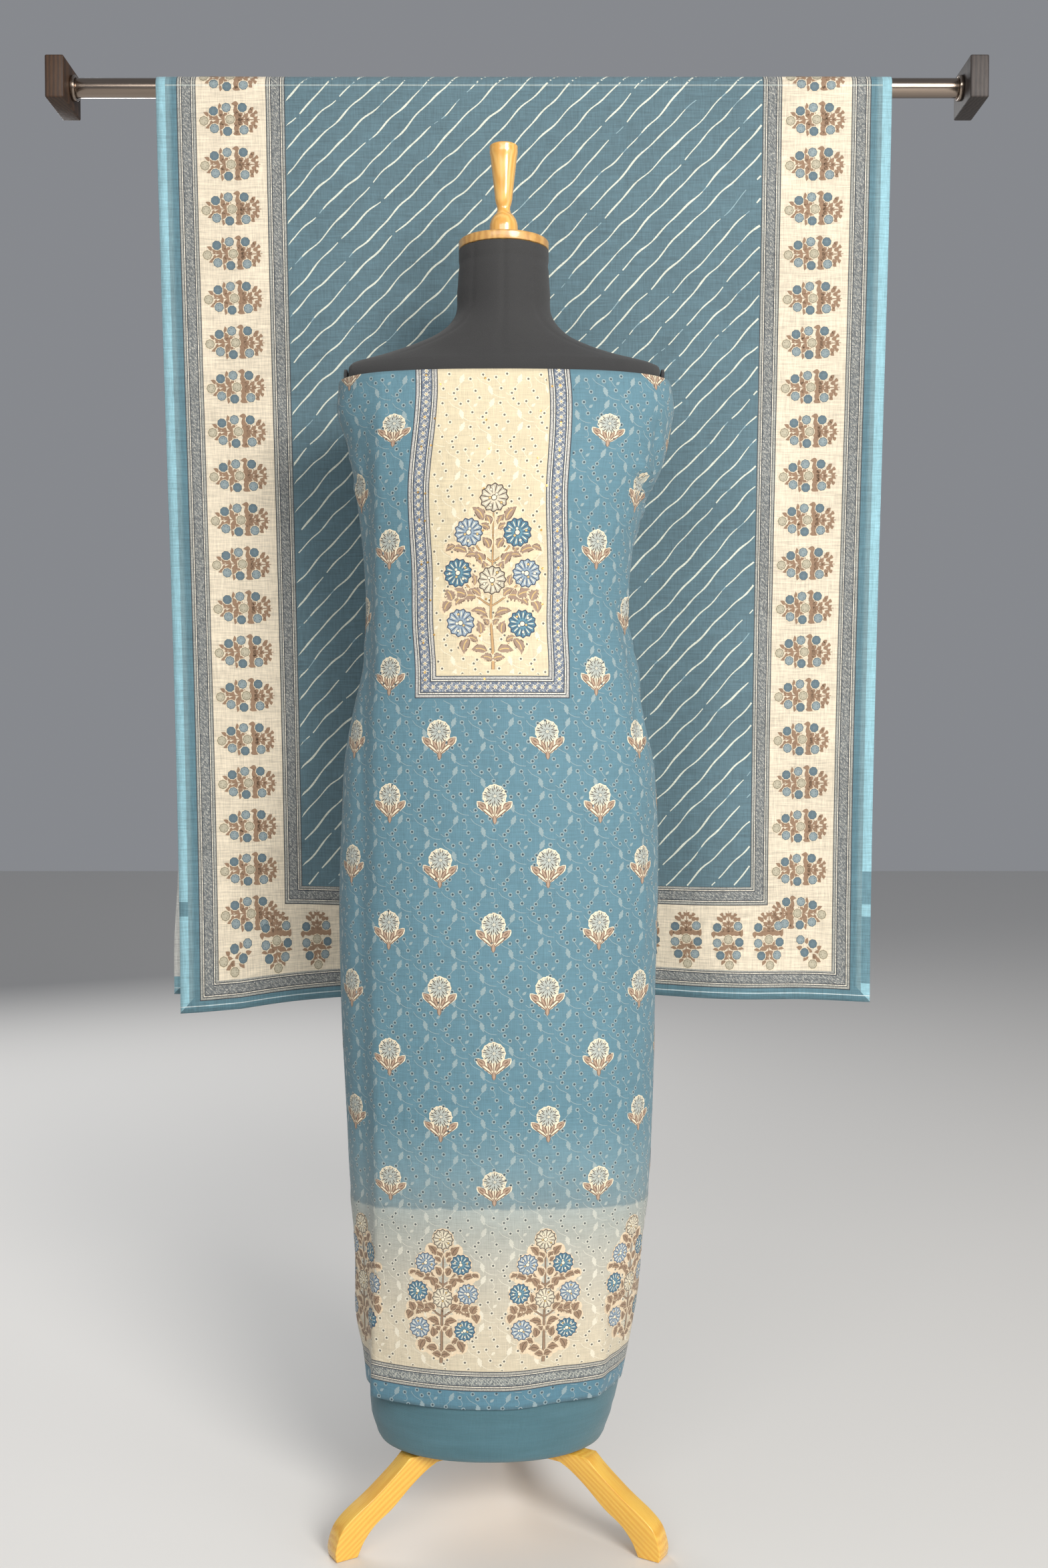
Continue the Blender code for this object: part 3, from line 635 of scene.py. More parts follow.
def buta_drawing():
    """The small sprig of the kameez: a carnation head in a wide cream calyx with brown leaves."""
    art = Drawing()
    head = 11j
    right = np.array([0 - 24.4j, 1.9 - 20.5j, 2.7 - 16.8j, 6.6 - 14.6j, 8.0 - 12.6j, 10.6 - 11.4j,
                      12.2 - 9.0j, 15.2 - 7.2j, 17.6 - 5.2j, 20.2 - 2.8j, 21.4 + 1.2j, 21.0 + 4.6j,
                      18.0 + 4.8j, 14.4 + 3.4j])
    art.fan(-5j, np.concatenate([right, -right[:0:-1].conjugate()]), 0, BUTA_CREAM)
    art.disc(head, 14.3, 0, BUTA_CREAM, sides=39, points=13, sharp=0.035, hole=0.8)
    art.fan(22j, [6 + 19j, 1.2 + 26.0j, -1.2 + 26.0j, -6 + 19j], 0, BUTA_CREAM)
    for side in (-1, 1):
        edge = np.array([17.0 - 4.0j, 12.6 - 7.8j, 8.2 - 11.6j, 4.8 - 14.2j, 1.6 - 17.0j, 0.9 - 21.5j])
        art.stroke(edge if side > 0 else -edge.conjugate(), [1.0, 1.5, 1.5, 1.4, 1.3, 0.8], 2, CALYX_BROWN)
        art.leaf(side * 10.6 - 4.8j, side * 20.0 + 3.4j, 5.6, 3, CALYX_FILL, CALYX_BROWN)
        art.leaf(side * 12.6 - 2.9j, side * 18.0 + 1.6j, 2.0, 6, CALYX_BROWN)
        art.stroke([side * 1.6 - 15j, side * 6.2 - 8.6j, side * 10.8 - 4.6j], [0.7, 1.2, 1.6], 4, CALYX_BROWN)
        art.leaf(side * 2.4 - 11.5j, side * 7.9 + 0.2j, 2.3, 4, CALYX_FILL, CALYX_BROWN)
        art.stroke([side * 1.0 - 12j, side * 3.6 - 1.6j], [0.5, 1.3], 4, CALYX_BROWN)
        art.disc(side * 7.0 - 0.2j, 0.9, 7, DARK_LINE, sides=5)
        art.disc(side * 3.7 - 1.6j, 0.7, 7, DARK_LINE, sides=5)
    art.stroke([-14j, 0.6j], [0.8, 1.5], 4, CALYX_BROWN)
    art.leaf(-23.6j, -12j, 3.0, 4, CALYX_FILL, CALYX_BROWN)
    art.disc(head, 12.9, 5, dye(170, 178, 176), dye(190, 192, 178), sides=26, points=13, sharp=0.03)
    for i in range(26):
        way = np.exp(1j * 2.0 * math.pi * (i + 0.5) / 26)
        inner, outer = ((7.6, 13.3), (5.2, 9.8), (9.2, 12.6))[i % 3]
        ray = head + np.array([inner, 0.5 * (inner + outer), outer]) * way
        art.stroke(ray, [0.5, 1.25, 0.7], 7, DARK_LINE)
    for i in range(13):
        way = np.exp(1j * 2.0 * math.pi * i / 13)
        art.stroke(head + np.array([10.4, 13.0]) * way, [0.8, 1.5], 8, BUTA_CREAM)
    for i in range(8):
        way = np.exp(1j * 2.0 * math.pi * i / 8)
        art.stroke(head + np.array([1.6, 4.4]) * way, [0.9, 0.5], 8, dye(112, 112, 102))
    art.disc(head + 0.6, 1.7, 9, FLOWER_GREY, PALE_CREAM, sides=7)
    for angle in (20, 52, 84, 116, 148, 200, -22):
        art.disc(head + 11.4 * np.exp(1j * math.radians(angle)), 1.2, 9, BUTA_CREAM, sides=6)
    return art


# The tall plant, in millimetres from its foot: flowers (x, y, kind) and leaves (x, y, length, width, heading)
PLANT_FLOWERS = [(-1.4, 196, 0), (-29, 157, 1), (27, 157, 2), (-40.5, 111.5, 2), (-0.4, 103, 0), (39, 111, 1),
                 (-35.5, 54, 1), (36, 53, 2)]
PLANT_LEAVES = [
    (19, 178, 19, 9.0, 50), (8, 171, 13, 6.5, 66), (11, 163, 13, 6, 20), (9, 145, 15, 8, 55),
    (40, 137, 19, 8, 12), (50, 139.5, 12, 5, -28), (17, 128, 18, 10, 58), (10, 118, 14, 8, 74),
    (22, 104, 15, 6, 76), (26, 131, 13, 6, -10), (39, 87, 19, 12, 8), (50, 86, 15, 11, 60),
    (28, 83, 20, 12, -14), (51, 73, 17, 9.5, -66), (19, 89, 15, 7, 34), (37, 79, 14, 8, -40),
    (14, 66, 19, 8, 14), (6, 55, 9, 5, 50), (14, 49, 16, 9, 78), (8, 60, 9, 4, 8), (30, 27, 20, 9.5, -68),
    (23, 35, 14, 6, 20), (15, 22, 18, 9.5, 4), (7, 13, 14, 8, 8), (27, 139, 11, 5, 60),
    (31, 120, 11, 5, 62),
]


def plant_drawing(full, halo):
    """The tall flowering plant of the yoke and the hem, with fuller leaves and a pale halo at the hem."""
    art = Drawing()
    haze = dye(226, 206, 176) if halo else dye(232, 212, 178)
    for x, y, _ in PLANT_FLOWERS:
        art.disc(x + 1j * y, 17.6, 0, haze, sides=18)
    for x, y, length, _, _ in PLANT_LEAVES:
        for side in (-1, 1):
            art.disc(side * x + 1j * y, length * 0.56 + 1.0, 0, haze, sides=10)
    spine = np.array([0, 0.6 + 30j, -0.4 + 70j, -0.6 + 120j, -1.2 + 184j])
    wide = 1.0 + 0.3 * halo
    art.stroke(spine, np.array([4.2, 3.6, 3.0, 2.4, 1.6]) * wide, 2, DARK_LINE)
    art.stroke(spine, np.array([3.2, 2.7, 2.1, 1.6, 0.9]) * wide, 3, TAUPE if halo else GOLD_BROWN)
    for x, y, _ in PLANT_FLOWERS[1:]:
        root = 1j * (y - 24 - abs(x) * 0.35)
        share = np.linspace(0, 1, 6)
        path = root + (x + 1j * y - root) * share - 5j * np.sin(math.pi * share)
        art.stroke(path, 2.2 * wide, 2, DARK_LINE)
        art.stroke(path, 1.4 * wide, 3, TAUPE if halo else GOLD_BROWN)
    for number, (x, y, length, width, heading) in enumerate(PLANT_LEAVES):
        for side in (-1, 1):
            way = np.exp(1j * math.radians(heading + 3.0 * math.sin(5.0 * number + side)))
            foot = x + 1j * y - way * length * 0.5
            tip = x + 1j * y + way * length * 0.5
            if side < 0:
                foot, tip = -foot.conjugate(), -tip.conjugate()
            teeth = 4 if 74 < y < 95 and x > 20 else 0
            layer, reach = 4 + 3 * (number % 3), 1.0 + 3.4 / length
            middle = (foot + tip) / 2.0
            art.leaf(middle + (foot - middle) * reach, middle + (tip - middle) * reach, width * full + 4.6,
                     layer - 1, haze, bend=side * 0.14, hole=0.5)
            fill, line, vein = (TAUPE, LEAF_LINE, LEAF_LINE) if halo else (ROSE_TAUPE, LEAF_LINE, GOLD)
            art.leaf(foot, tip, width * full, layer, fill, line, vein, bend=side * 0.14, teeth=teeth)
    tones = [(dye(194, 186, 166), dye(228, 216, 190)), (dye(158, 174, 186), dye(132, 152, 170)),
             (dye(82, 124, 144), dye(98, 144, 162))]
    for number, (x, y, kind) in enumerate(PLANT_FLOWERS):
        petals, heart = tones[kind]
        line = dye(62, 78, 98) if kind else DARK_LINE
        art.disc(x + 1j * y, 17.2, 13, haze, sides=26, hole=0.8)
        art.flower(x + 1j * y, 15.6, 14, petals, line, heart, count=12 + number % 2, turn=0.4 * number)
    return art


# The dupatta's plant, lying with its head to the left, in millimetres from its middle
SHAWL_HEADS = [(-34.6, -1.8, 0), (-21.8, 11.0, 2), (-20.9, -11.8, 1), (-4.9, 15.5, 1), (-3.6, -15.5, 2),
               (0.0, 0.0, 0), (16.4, 15.5, 2), (18.2, -13.6, 1)]
SHAWL_LEAVES = [
    (-32.0, 6.6, 8, 3.8, 140), (-29.5, -8.6, 8, 3.8, 218), (-26.5, 3.0, 7, 3.6, 120),
    (-26.0, -4.4, 7, 3.6, 240), (-20.5, 1.8, 10, 5.4, 165), (-19.5, -3.0, 10, 5.4, 200),
    (-14.0, 8.8, 10, 5.0, 104), (-12.8, -8.8, 10, 5.0, 256), (-14.6, 17.6, 8, 3.6, 82),
    (-12.8, -17.8, 8, 3.6, 272), (-11.5, 3.2, 9, 5.2, 150), (-11.0, -3.4, 9, 5.2, 215),
    (-6.8, 8.0, 7, 3.6, 70), (-6.2, -8.4, 7, 3.6, 290), (7.4, 4.6, 13, 8.4, 88), (7.6, -4.8, 13, 8.4, 272),
    (7.2, 12.8, 12, 8.0, 96), (7.8, -12.8, 12, 8.0, 264), (6.6, 19.2, 9.5, 5.2, 168),
    (8.8, -19.4, 9.5, 5.2, -12), (13.2, 7.4, 8, 4.6, 48), (13.4, -6.8, 8, 4.6, -44),
    (14.4, 2.2, 9, 3.8, 16), (14.4, -2.4, 9, 3.8, -16), (20.4, 6.0, 8, 4.6, 40), (20.6, -5.4, 8, 4.6, -40),
    (25.8, 11.2, 7.4, 5.0, 76), (26.6, -10.6, 7.4, 5.0, -74), (28.6, 14.6, 5.6, 4.2, 30),
    (27.4, -15.4, 5.6, 4.2, -28), (29.4, 6.6, 7.4, 4.8, 44), (30.0, -6.2, 7.4, 4.8, -44),
    (33.4, 9.6, 5.4, 4.0, 74), (33.0, -9.8, 5.4, 4.0, -70), (33.6, 3.0, 6.4, 3.2, 24),
    (34.0, -3.0, 6.4, 3.2, -24), (22.6, 1.8, 6.4, 2.8, 10), (22.8, -1.8, 6.4, 2.8, -10),
]


def shawl_drawing(heads=SHAWL_HEADS, leaves=SHAWL_LEAVES, stem=True):
    """The block-printed plant of the dupatta's cream border."""
    art = Drawing()
    if stem:
        art.stroke([-34, -20, -5 + 0.4j, 12, 28 - 0.3j, 39], [0.8, 1.2, 1.4, 1.6, 1.4, 0.8], 1, SOFT_BROWN)
        for x in (-20, -4, 17):
            for side in (-1, 1):
                share = np.linspace(0, 1, 5)
                reach = 13.0 if x > -10 else 10.0
                art.stroke(x + 5 * (1 - share) + 1j * side * reach * share, 0.9, 1, SOFT_BROWN)
    for x, y, length, width, heading in leaves:
        way = np.exp(1j * math.radians(heading))
        curl = 0.16 if y < 0 else -0.16
        leaf_middle, half = x + 1j * y, way * length * 0.54
        art.leaf(leaf_middle - half, leaf_middle + half, width * 1.25, 2, SOFT_BROWN, bend=curl)
    tones = [(dye(176, 168, 146), dye(190, 182, 160)), (dye(130, 144, 148), dye(144, 158, 160)),
             (dye(90, 110, 120), dye(104, 124, 132))]
    for number, (x, y, kind) in enumerate(heads):
        petals, heart = tones[kind]
        middle = x + 1j * y
        art.disc(middle, 7.0, 5, CREAM, sides=14, hole=0.8)
        rim = HEAD_RIM if kind else dye(132, 124, 104)
        art.disc(middle, 6.2, 6, rim, sides=16, points=8, sharp=0.04, turn=0.3 * number, hole=0.7)
        art.disc(middle, 5.3, 7, heart, petals, sides=14)
        for i in range(5):
            spot = middle + 3.0 * np.exp(1j * (number + i * 2.0 * math.pi / 5.0))
            art.disc(spot, 0.7, 8, petals if i % 2 else rim, sides=5)
    return art


# One repeat of the embroidery, in millimetres: eyelets, leaves (x, y, length, width, heading), curls
EYELETS = ((-30, 8), (-25, -5), (-17, 12), (-9, -6), (-13, -10.5), (7, 6), (12, -8), (22, 11), (28, 5))
STITCHED_LEAVES = ((-2.4, 6.5, 12, 6.0, 66), (29.5, -7.5, 12, 5.8, -74), (-21.5, 3.5, 6, 3.4, 40))
CURLS = ((14.8 + 8.3j, 19 + 3j, 27 - 1j, 29.5 - 3.5j), (31 - 10j, 34.2 - 13j, 39.5 - 15.5j, 46 - 16.2j),
         (-30 + 6j, -27 + 1j, -24.5 - 1.5j), (-9 - 4j, -5 + 0.5j, -3.4 + 3j),
         (8 + 4j, 10.5 - 1j, 9 - 4.5j, 6 - 4j),
         (-20 - 10j, -16 - 13j, -12.5 - 12j))


def vine_drawing():
    """One repeat of the tone on tone embroidery: eyelets, stitched leaves, thin vines and curls."""
    art = Drawing()
    for path in CURLS:
        art.stroke(smooth_path(np.array(path), 2), 0.65, 0, THREAD)
    for x, y, length, width, heading in STITCHED_LEAVES:
        way = np.exp(1j * math.radians(heading))
        art.leaf(x + 1j * y - way * length / 2, x + 1j * y + way * length / 2, width, 0, THREAD, teeth=3)
    for x, y in EYELETS:
        art.disc(x + 1j * y, 2.7, 1, THREAD, sides=7)
        art.disc(x + 1j * y + 0.15, 1.5, 2, HOLE, sides=5)
    return art


def kameez_cloth():
    half_cut = KAMEEZ_CUT / 2.0
    columns = np.linspace(-half_cut, half_cut, 185)
    heights = np.linspace(KAMEEZ_HEM, KAMEEZ_TOP, 201)
    rows = []
    for height in heights:
        row = table_at(OUTLINE, height)
        out = kameez_folds(columns, height) + lap(columns, half_loop(row), half_cut, LAP_LIFT)
        plan = on_loop(row, columns, out)
        near_hem = smooth_step((0.30 - height) / 0.12)
        level = height + near_hem * 0.0045 * smooth_step((columns - 0.01) / 0.08)
        rows.append(np.column_stack([plan, level]))
    return Cloth(columns, heights, np.array(rows))


# The printed yoke panel: height, its left edge, its right edge along the cloth
YOKE_EDGES = [(1.000, -0.0956, 0.0871), (1.140, -0.0995, 0.0866), (1.266, -0.1080, 0.0790),
              (1.390, -0.1025, 0.0766)]
YOKE_FOOT, YOKE_BORDER = 1.008, 0.0262
HEM_BAND_LOW, HEM_BAND_HIGH = 0.1985, 0.2225


def band_colour(finish, across, along, width, ground, pale, dark, stripe):
    """A printed border band: a scroll strip between white lines and dotted stripes.
    across runs from 0 to width."""
    stops = [(0.0, dark), (0.045, stripe), (0.150, dark), (0.19, pale), (0.235, dark), (0.285, ground),
             (0.715, dark), (0.765, pale), (0.81, dark), (0.85, stripe), (0.955, dark)]
    share = across / width
    plain = finish.ramp(share, stops, "CONSTANT")
    spot = finish.node("ShaderNodeCombineXYZ", None, {0: across, 1: along}).outputs[0]
    scroll = finish.noise(spot, 300.0, 2.0, 0.6).above(0.52, 0.04)
    dots = finish.noise(spot, 620.0, 1.0).above(0.56, 0.05)
    middle = share.between(0.285, 0.715, 0.005)
    colour = finish.mix(scroll * middle * 0.40, plain, dark)
    colour = finish.mix((1.0 - scroll) * middle * dots * 0.5, colour, pale)
    striped = share.between(0.045, 0.955, 0.005) * (1.0 - middle)
    return finish.mix(dots * striped * 0.40, colour, dark)


def yoke_depth(finish, height):
    """How far inside the yoke panel a point lies, from the nearest of its sides and its foot."""
    margin = finish.node("ShaderNodeAttribute", {"attribute_name": "yoke"}, None, "Fac")
    return margin.lowest(height - YOKE_FOOT)


def kameez_ground(finish, where):
    """The kameez cloth's dyed ground: blue fading to cream, hem band, plain edge and yoke panel."""
    along, height = finish.split(where)
    blotch = finish.noise(finish.scaled(where, (26.0, 44.0, 1.0)), 1.0, 4.0, 0.6)
    level = height + (along * along).lowest(0.04) * CREASE_DIP + (blotch - 0.5) * 0.008
    stops = [(0.0, dye(206, 194, 168)), (0.22, dye(202, 192, 170)), (0.45, dye(180, 178, 166)),
             (0.62, dye(162, 168, 162)), (0.657, dye(160, 168, 164)), (0.662, dye(120, 138, 142)),
             (0.70, dye(118, 142, 149)), (0.84, dye(108, 140, 151)), (1.0, dye(92, 130, 144))]
    ground = finish.ramp((level - 0.21) / 0.31, stops)
    dark = dye(54, 60, 70)
    tones = (dye(128, 134, 134), dye(230, 224, 206), dark, dye(172, 170, 160))
    band = band_colour(finish, height - HEM_BAND_LOW, along, HEM_BAND_HIGH - HEM_BAND_LOW, *tones)
    ground = finish.mix(height.below(HEM_BAND_HIGH), ground, band)
    ground = finish.mix(height.below(HEM_BAND_LOW), ground, dye(84, 126, 144))
    edge = yoke_depth(finish, height)
    tones = (dye(116, 128, 146), dye(232, 228, 214), dark, dye(190, 188, 182))
    border = band_colour(finish, edge, along + height, YOKE_BORDER, *tones)
    panel = finish.mix(edge.above(YOKE_BORDER), border, dye(213, 200, 169))
    return finish.mix(edge.above(0.0), ground, panel)


def kameez_finish():
    finish = Finish("kameez_cloth", Sheen_Weight=0.15, Sheen_Roughness=0.45)
    where = finish.flat_place()
    woven(finish, kameez_ground(finish, where), where, slub=0.16, pucker=0.0035)
    return finish.material


def thread_finish():
    """Embroidery in a lighter tone of the cloth that it is sewn on, with dark eyelet holes."""
    finish = Finish("tonal_thread", Sheen_Weight=0.3)
    where = finish.flat_place()
    ground = kameez_ground(finish, where)
    kind = finish.node("ShaderNodeVertexColor", {"layer_name": "dye"}).outputs[0]
    height = finish.split(where)[1]
    on_hem = height.below(0.38, 0.06) * height.above(HEM_BAND_LOW)
    on_cream = on_hem.highest(yoke_depth(finish, height).above(0.0))
    lighter = finish.mix(0.20 + on_cream * 0.28, ground, dye(248, 244, 226))
    darker = finish.mix(0.80, ground, dye(34, 44, 50))
    stitches = finish.noise(finish.scaled(where, (1500.0, 420.0, 1.0), (0.0, 0.0, 0.5)), 1.0, 2.0)
    thread = finish.mix((stitches - 0.45) * 1.2, lighter, ground)
    finish.set("Base Color", finish.mix(kind, darker, thread))
    finish.set("Normal", finish.bump(stitches, 0.0006, 0.8))
    finish.set("Roughness", 0.5 + stitches * 0.2)
    return finish.material


def print_finish(name, slub):
    """Dyed pattern on a cloth, with the cloth's own weave showing through."""
    finish = Finish(name, Sheen_Weight=0.12, Sheen_Roughness=0.5)
    where = finish.flat_place()
    colour = finish.node("ShaderNodeVertexColor", {"layer_name": "dye"}).outputs[0]
    woven(finish, colour, where, slub=slub)
    return finish.material


def sequin_finish():
    finish = Finish("gold_sequins", 0.25, Metallic=0.9)
    where = finish.flat_place()
    tilt = finish.noise(finish.scaled(where, (320.0, 320.0, 1.0)), 1.0, 1.0)
    finish.set("Base Color", finish.mix(tilt, dye(236, 200, 120), dye(196, 142, 84)))
    finish.set("Roughness", 0.2 + tilt * 0.25)
    finish.set("Normal", finish.bump(tilt, 0.002, 0.6))
    return finish.material


def yoke_sides(height):
    """The panel's left and right edge along the cloth at some heights, on a smooth curve."""
    rows = smooth_path(YOKE_EDGES, 8)
    return [np.interp(height, rows[:, 0], rows[:, i]) for i in (1, 2)]


def yoke_margin(along, height):
    """How far inside the yoke panel's sides a place is, negative outside."""
    left, right = yoke_sides(height)
    return np.minimum(along - left, right - along)


def mark_yoke(mesh, along, height):
    """Writes on each vertex how far inside the yoke panel's sides it lies."""
    margin = mesh.attributes.new("yoke", "FLOAT", "POINT")
    margin.data.foreach_set("value", yoke_margin(along, height).astype(np.float32))


def in_yoke(x, y):
    return (yoke_margin(x, y) > -0.004) & (y > YOKE_FOOT - 0.004)


# The kameez pattern: the sprigs' lowest row, the step up and along, the size against the drawing
SPRIG_FOOT, SPRIG_RISE, SPRIG_STEP, SPRIG_SIZE = 0.4415, 0.0741, 0.1255, 0.97
YOKE_PLANT_PLACE = (-0.0036, 1.0413)
HEM_PLANT_STEP, HEM_PLANT_FOOT, HEM_PLANT_SIZE = 0.120, 0.2310, 0.752
YOKE_MOTIF_STEP, HEM_SCROLL_STEP = 0.0091, 0.0104
VINE_RISE, VINE_STEP = 0.0282, 0.0667
SEQUIN_RISE, SEQUIN_COLUMNS = 0.042, (-0.078, -0.015, 0.048)


def yoke_motif():
    """The six-pointed flower with two curls that repeats along the yoke's border."""
    strip = Drawing()
    for turn in range(6):
        way = np.exp(1j * math.pi * turn / 3.0)
        strip.leaf(0.6 * way, 3.3 * way, 1.1, 0, PALE_CREAM)
    strip.disc(0, 0.9, 1, GOLD, sides=6)
    for side in (1, -1):
        curl = side * np.array([2.4 + 3.0j, 4.4 + 4.2j, 3.0 + 5.6j])
        strip.stroke(curl, [0.6, 0.8, 0.4], 0, PALE_CREAM)
    return strip.joined()


def hem_scroll():
    """The double curl with two leaves that repeats along the hem band."""
    scroll = Drawing()
    for side in (-1, 1):
        curl = side * np.array([4.6 - 0.6j, 3.2 + 2.0j, 1.0 + 2.6j, 0.4 + 0.6j, 1.8 - 0.4j])
        width = [0.5, 0.6, 0.6, 0.7, 0.7, 0.8, 0.8, 0.8, 0.8, 0.7, 0.7, 0.6, 0.6]
        scroll.stroke(smooth_path(curl, 3), width, 0, SCROLL_GREY)
        scroll.leaf(side * (2.6 - 1.2j), side * (4.6 - 3.2j), 1.3, 0, SCROLL_GREY)
    return scroll.joined()


def upper_pattern(cloth):
    """The sprigs, shorter at the hem and the top, the yoke's plant and the flowers of its border."""
    pattern = Print(cloth)
    buta = buta_drawing().joined()
    for k in range(0, 14):
        z = SPRIG_FOOT + SPRIG_RISE * k - 0.012 * float(smooth_step((k - 9.5) / 3.5))
        short = 0.96 - 0.10 * max(0.0, 1.0 - k / 3.0) - 0.16 * float(smooth_step((z - 1.24) / 0.08))
        sprig = (buta[0].real + 1j * (buta[0].imag * short - 24.0 * (1.0 - short)), *buta[1:])
        for n in range(-5, 6):
            s = -0.004 + SPRIG_STEP * (n + 0.5 * (k % 2))
            if in_yoke(s + 0.018, z) or in_yoke(s - 0.018, z) or in_yoke(s, z + 0.02):
                continue
            pattern.put(sprig, s, z, size=SPRIG_SIZE)
    pattern.put(plant_drawing(1.0, False), *YOKE_PLANT_PLACE)
    motif = yoke_motif()
    middle = YOKE_BORDER / 2.0
    for z in np.arange(YOKE_FOOT + middle, KAMEEZ_TOP, YOKE_MOTIF_STEP):
        left, right = yoke_sides(z)
        pattern.put(motif, left + middle, z)
        pattern.put(motif, right - middle, z)
    _, left, right = YOKE_EDGES[0]
    for s in np.arange(left + middle + YOKE_MOTIF_STEP, right - middle - 0.004, YOKE_MOTIF_STEP):
        pattern.put(motif, s, YOKE_FOOT + middle)
    return pattern


def hem_pattern(cloth):
    """The row of plants above the hem and the scrolls of its band."""
    pattern = Print(cloth)
    plant = plant_drawing(1.08, True).joined()
    for n in range(-4, 5):
        pattern.put(plant, -0.0025 + HEM_PLANT_STEP * (n + 0.5), HEM_PLANT_FOOT, size=HEM_PLANT_SIZE)
    scroll = hem_scroll()
    for s in np.arange(-KAMEEZ_CUT / 2.0 + 0.006, KAMEEZ_CUT / 2.0, HEM_SCROLL_STEP):
        pattern.put(scroll, s, (HEM_BAND_LOW + HEM_BAND_HIGH) / 2.0)
    return pattern


def sew_embroidery(cloth):
    """The tone on tone vines, everywhere but on the hem band and the yoke's border."""
    sewn = Print(cloth, base_lift=0.00008)
    vine = vine_drawing().joined()
    for j, z in enumerate(np.arange(KAMEEZ_HEM + 0.008, KAMEEZ_TOP + 0.01, VINE_RISE)):
        for s in np.arange(-0.58, 0.60, VINE_STEP):
            sewn.put(vine, s + 0.0333 * (j % 2), z)

    def on_ground(x, y):
        edge = np.minimum(yoke_margin(x, y), y - YOKE_FOOT)
        off_band = (y > HEM_BAND_HIGH + 0.001) | (y < HEM_BAND_LOW)
        return off_band & ((edge < -0.001) | (edge > YOKE_BORDER + 0.001))

    embroidery = sewn.make("kameez_embroidery", on_ground)
    mark_yoke(embroidery.data, sewn.kept.real, sewn.kept.imag)
    return put_on(embroidery, thread_finish(), "kameez_cloth")


def sew_sequins(cloth):
    gold = Print(cloth, base_lift=0.0006)
    sequin = Drawing()
    sequin.disc(0, 1.3, 0, GOLD, sides=8)
    sequin = sequin.joined()
    generator = np.random.default_rng(11)
    for z in np.arange(YOKE_FOOT + 0.03, KAMEEZ_TOP, SEQUIN_RISE):
        for s in SEQUIN_COLUMNS:
            dx, dz = generator.uniform(-0.008, 0.008, 2)
            gold.put(sequin, s + dx, z + dz)
        for edge, inward in zip(yoke_sides(z), (0.5, -0.5)):
            gold.put(sequin, edge + inward * YOKE_BORDER, z + generator.uniform(-0.01, 0.01))
    return put_on(gold.make("kameez_sequins"), sequin_finish(), "kameez_cloth")


def make_kameez():
    cloth = kameez_cloth()
    piece = cloth.sheet("kameez_cloth", KAMEEZ_WALL)
    places = np.empty(len(piece.data.loops) * 2, np.float32)
    piece.data.uv_layers["cloth"].data.foreach_get("uv", places)
    corner_vertex = np.empty(len(piece.data.loops), np.int32)
    piece.data.loops.foreach_get("vertex_index", corner_vertex)
    flat = np.zeros((len(piece.data.vertices), 2))
    flat[corner_vertex] = places.reshape(-1, 2)
    mark_yoke(piece.data, flat[:, 0], flat[:, 1])
    put_on(piece, kameez_finish(), "kameez_cloth", "kameez")

    dyes = print_finish("kameez_dyes", 0.13)
    prints = {"kameez_print": upper_pattern(cloth), "kameez_hem_print": hem_pattern(cloth)}
    printed = [put_on(group.make(name), dyes, "kameez_cloth") for name, group in prints.items()]
    embroidery, sequins = sew_embroidery(cloth), sew_sequins(cloth)


def salwar_path():
    """Height, size against the outline, and share of the wall's thickness that is level there, upwards."""
    sides = [(height, 1.0, 0.0) for height in np.linspace(0.62, 0.1378, 60)]
    turned = [(0.1290, 1.0, 0.1), (0.1200, 1.0, 0.2), (0.1145, 1.0, 0.35), (0.1090, 1.0, 0.5),
              (0.1062, 0.985, 0.65), (0.1045, 0.965, 0.8), (0.1038, 0.945, 0.9), (0.1036, 0.925, 1.0),
              (0.1042, 0.885, 1.0)]
    return (sides + turned)[::-1]


# Level creases of the salwar: height, half width, how far each stands out
SALWAR_CREASES = ((0.1720, 0.0035, 0.0012), (0.1655, 0.0030, -0.0010), (0.1330, 0.0022, -0.0009),
                  (0.1285, 0.0030, 0.0010))


def make_salwar():
    ends = 0.5 + SALWAR_LAP
    turns = np.linspace(-ends, ends, 181)
    rows, lengths = [], []
    for height, size, level_share in salwar_path():
        row = table_at(OUTLINE, height)
        row = np.array([row[0] * size, row[1], row[2] * size, row[3] * size, row[4]])
        around = 2.0 * half_loop(row)
        lift = lap(turns * around, around / 2.0, ends * around, SALWAR_WALL + FIT_GAP)
        bow = 0.35 * (turns * around) ** 2
        crease = 0.0
        for at, half, amount in SALWAR_CREASES:
            crease = crease + amount * np.exp(-((height - at - bow) / half) ** 2)
        crease = crease * (0.75 + 0.25 * np.sin(turns * 21.0 + 60.0 * height))
        seam = -0.0006 * np.exp(-((turns * around + 0.004) / 0.0015) ** 2)
        inward = SALWAR_IN * (1.0 - level_share)
        plan = on_loop(row, turns * around, (lift + crease + seam) * (1.0 - level_share) - inward)
        level = height - lift * level_share + (SALWAR_WALL + FIT_GAP) * level_share
        rows.append(np.column_stack([plan, np.broadcast_to(level, turns.shape)]))
        lengths.append(height if size == 1.0 else height - (1.0 - size) * 0.14)
    cloth = Cloth(turns, lengths, np.array(rows))
    piece = cloth.sheet("salwar_cloth", SALWAR_WALL)
    finish = Finish("salwar_cloth", Sheen_Weight=0.2)
    where = finish.flat_place()
    cloudy = finish.noise(finish.scaled(where, (8.0, 70.0, 1.0)), 1.0, 3.0)
    woven(finish, finish.mix(cloudy, dye(60, 98, 108), dye(80, 120, 132)), where, slub=0.09)
    put_on(piece, finish.material, "salwar_cloth", "salwar")


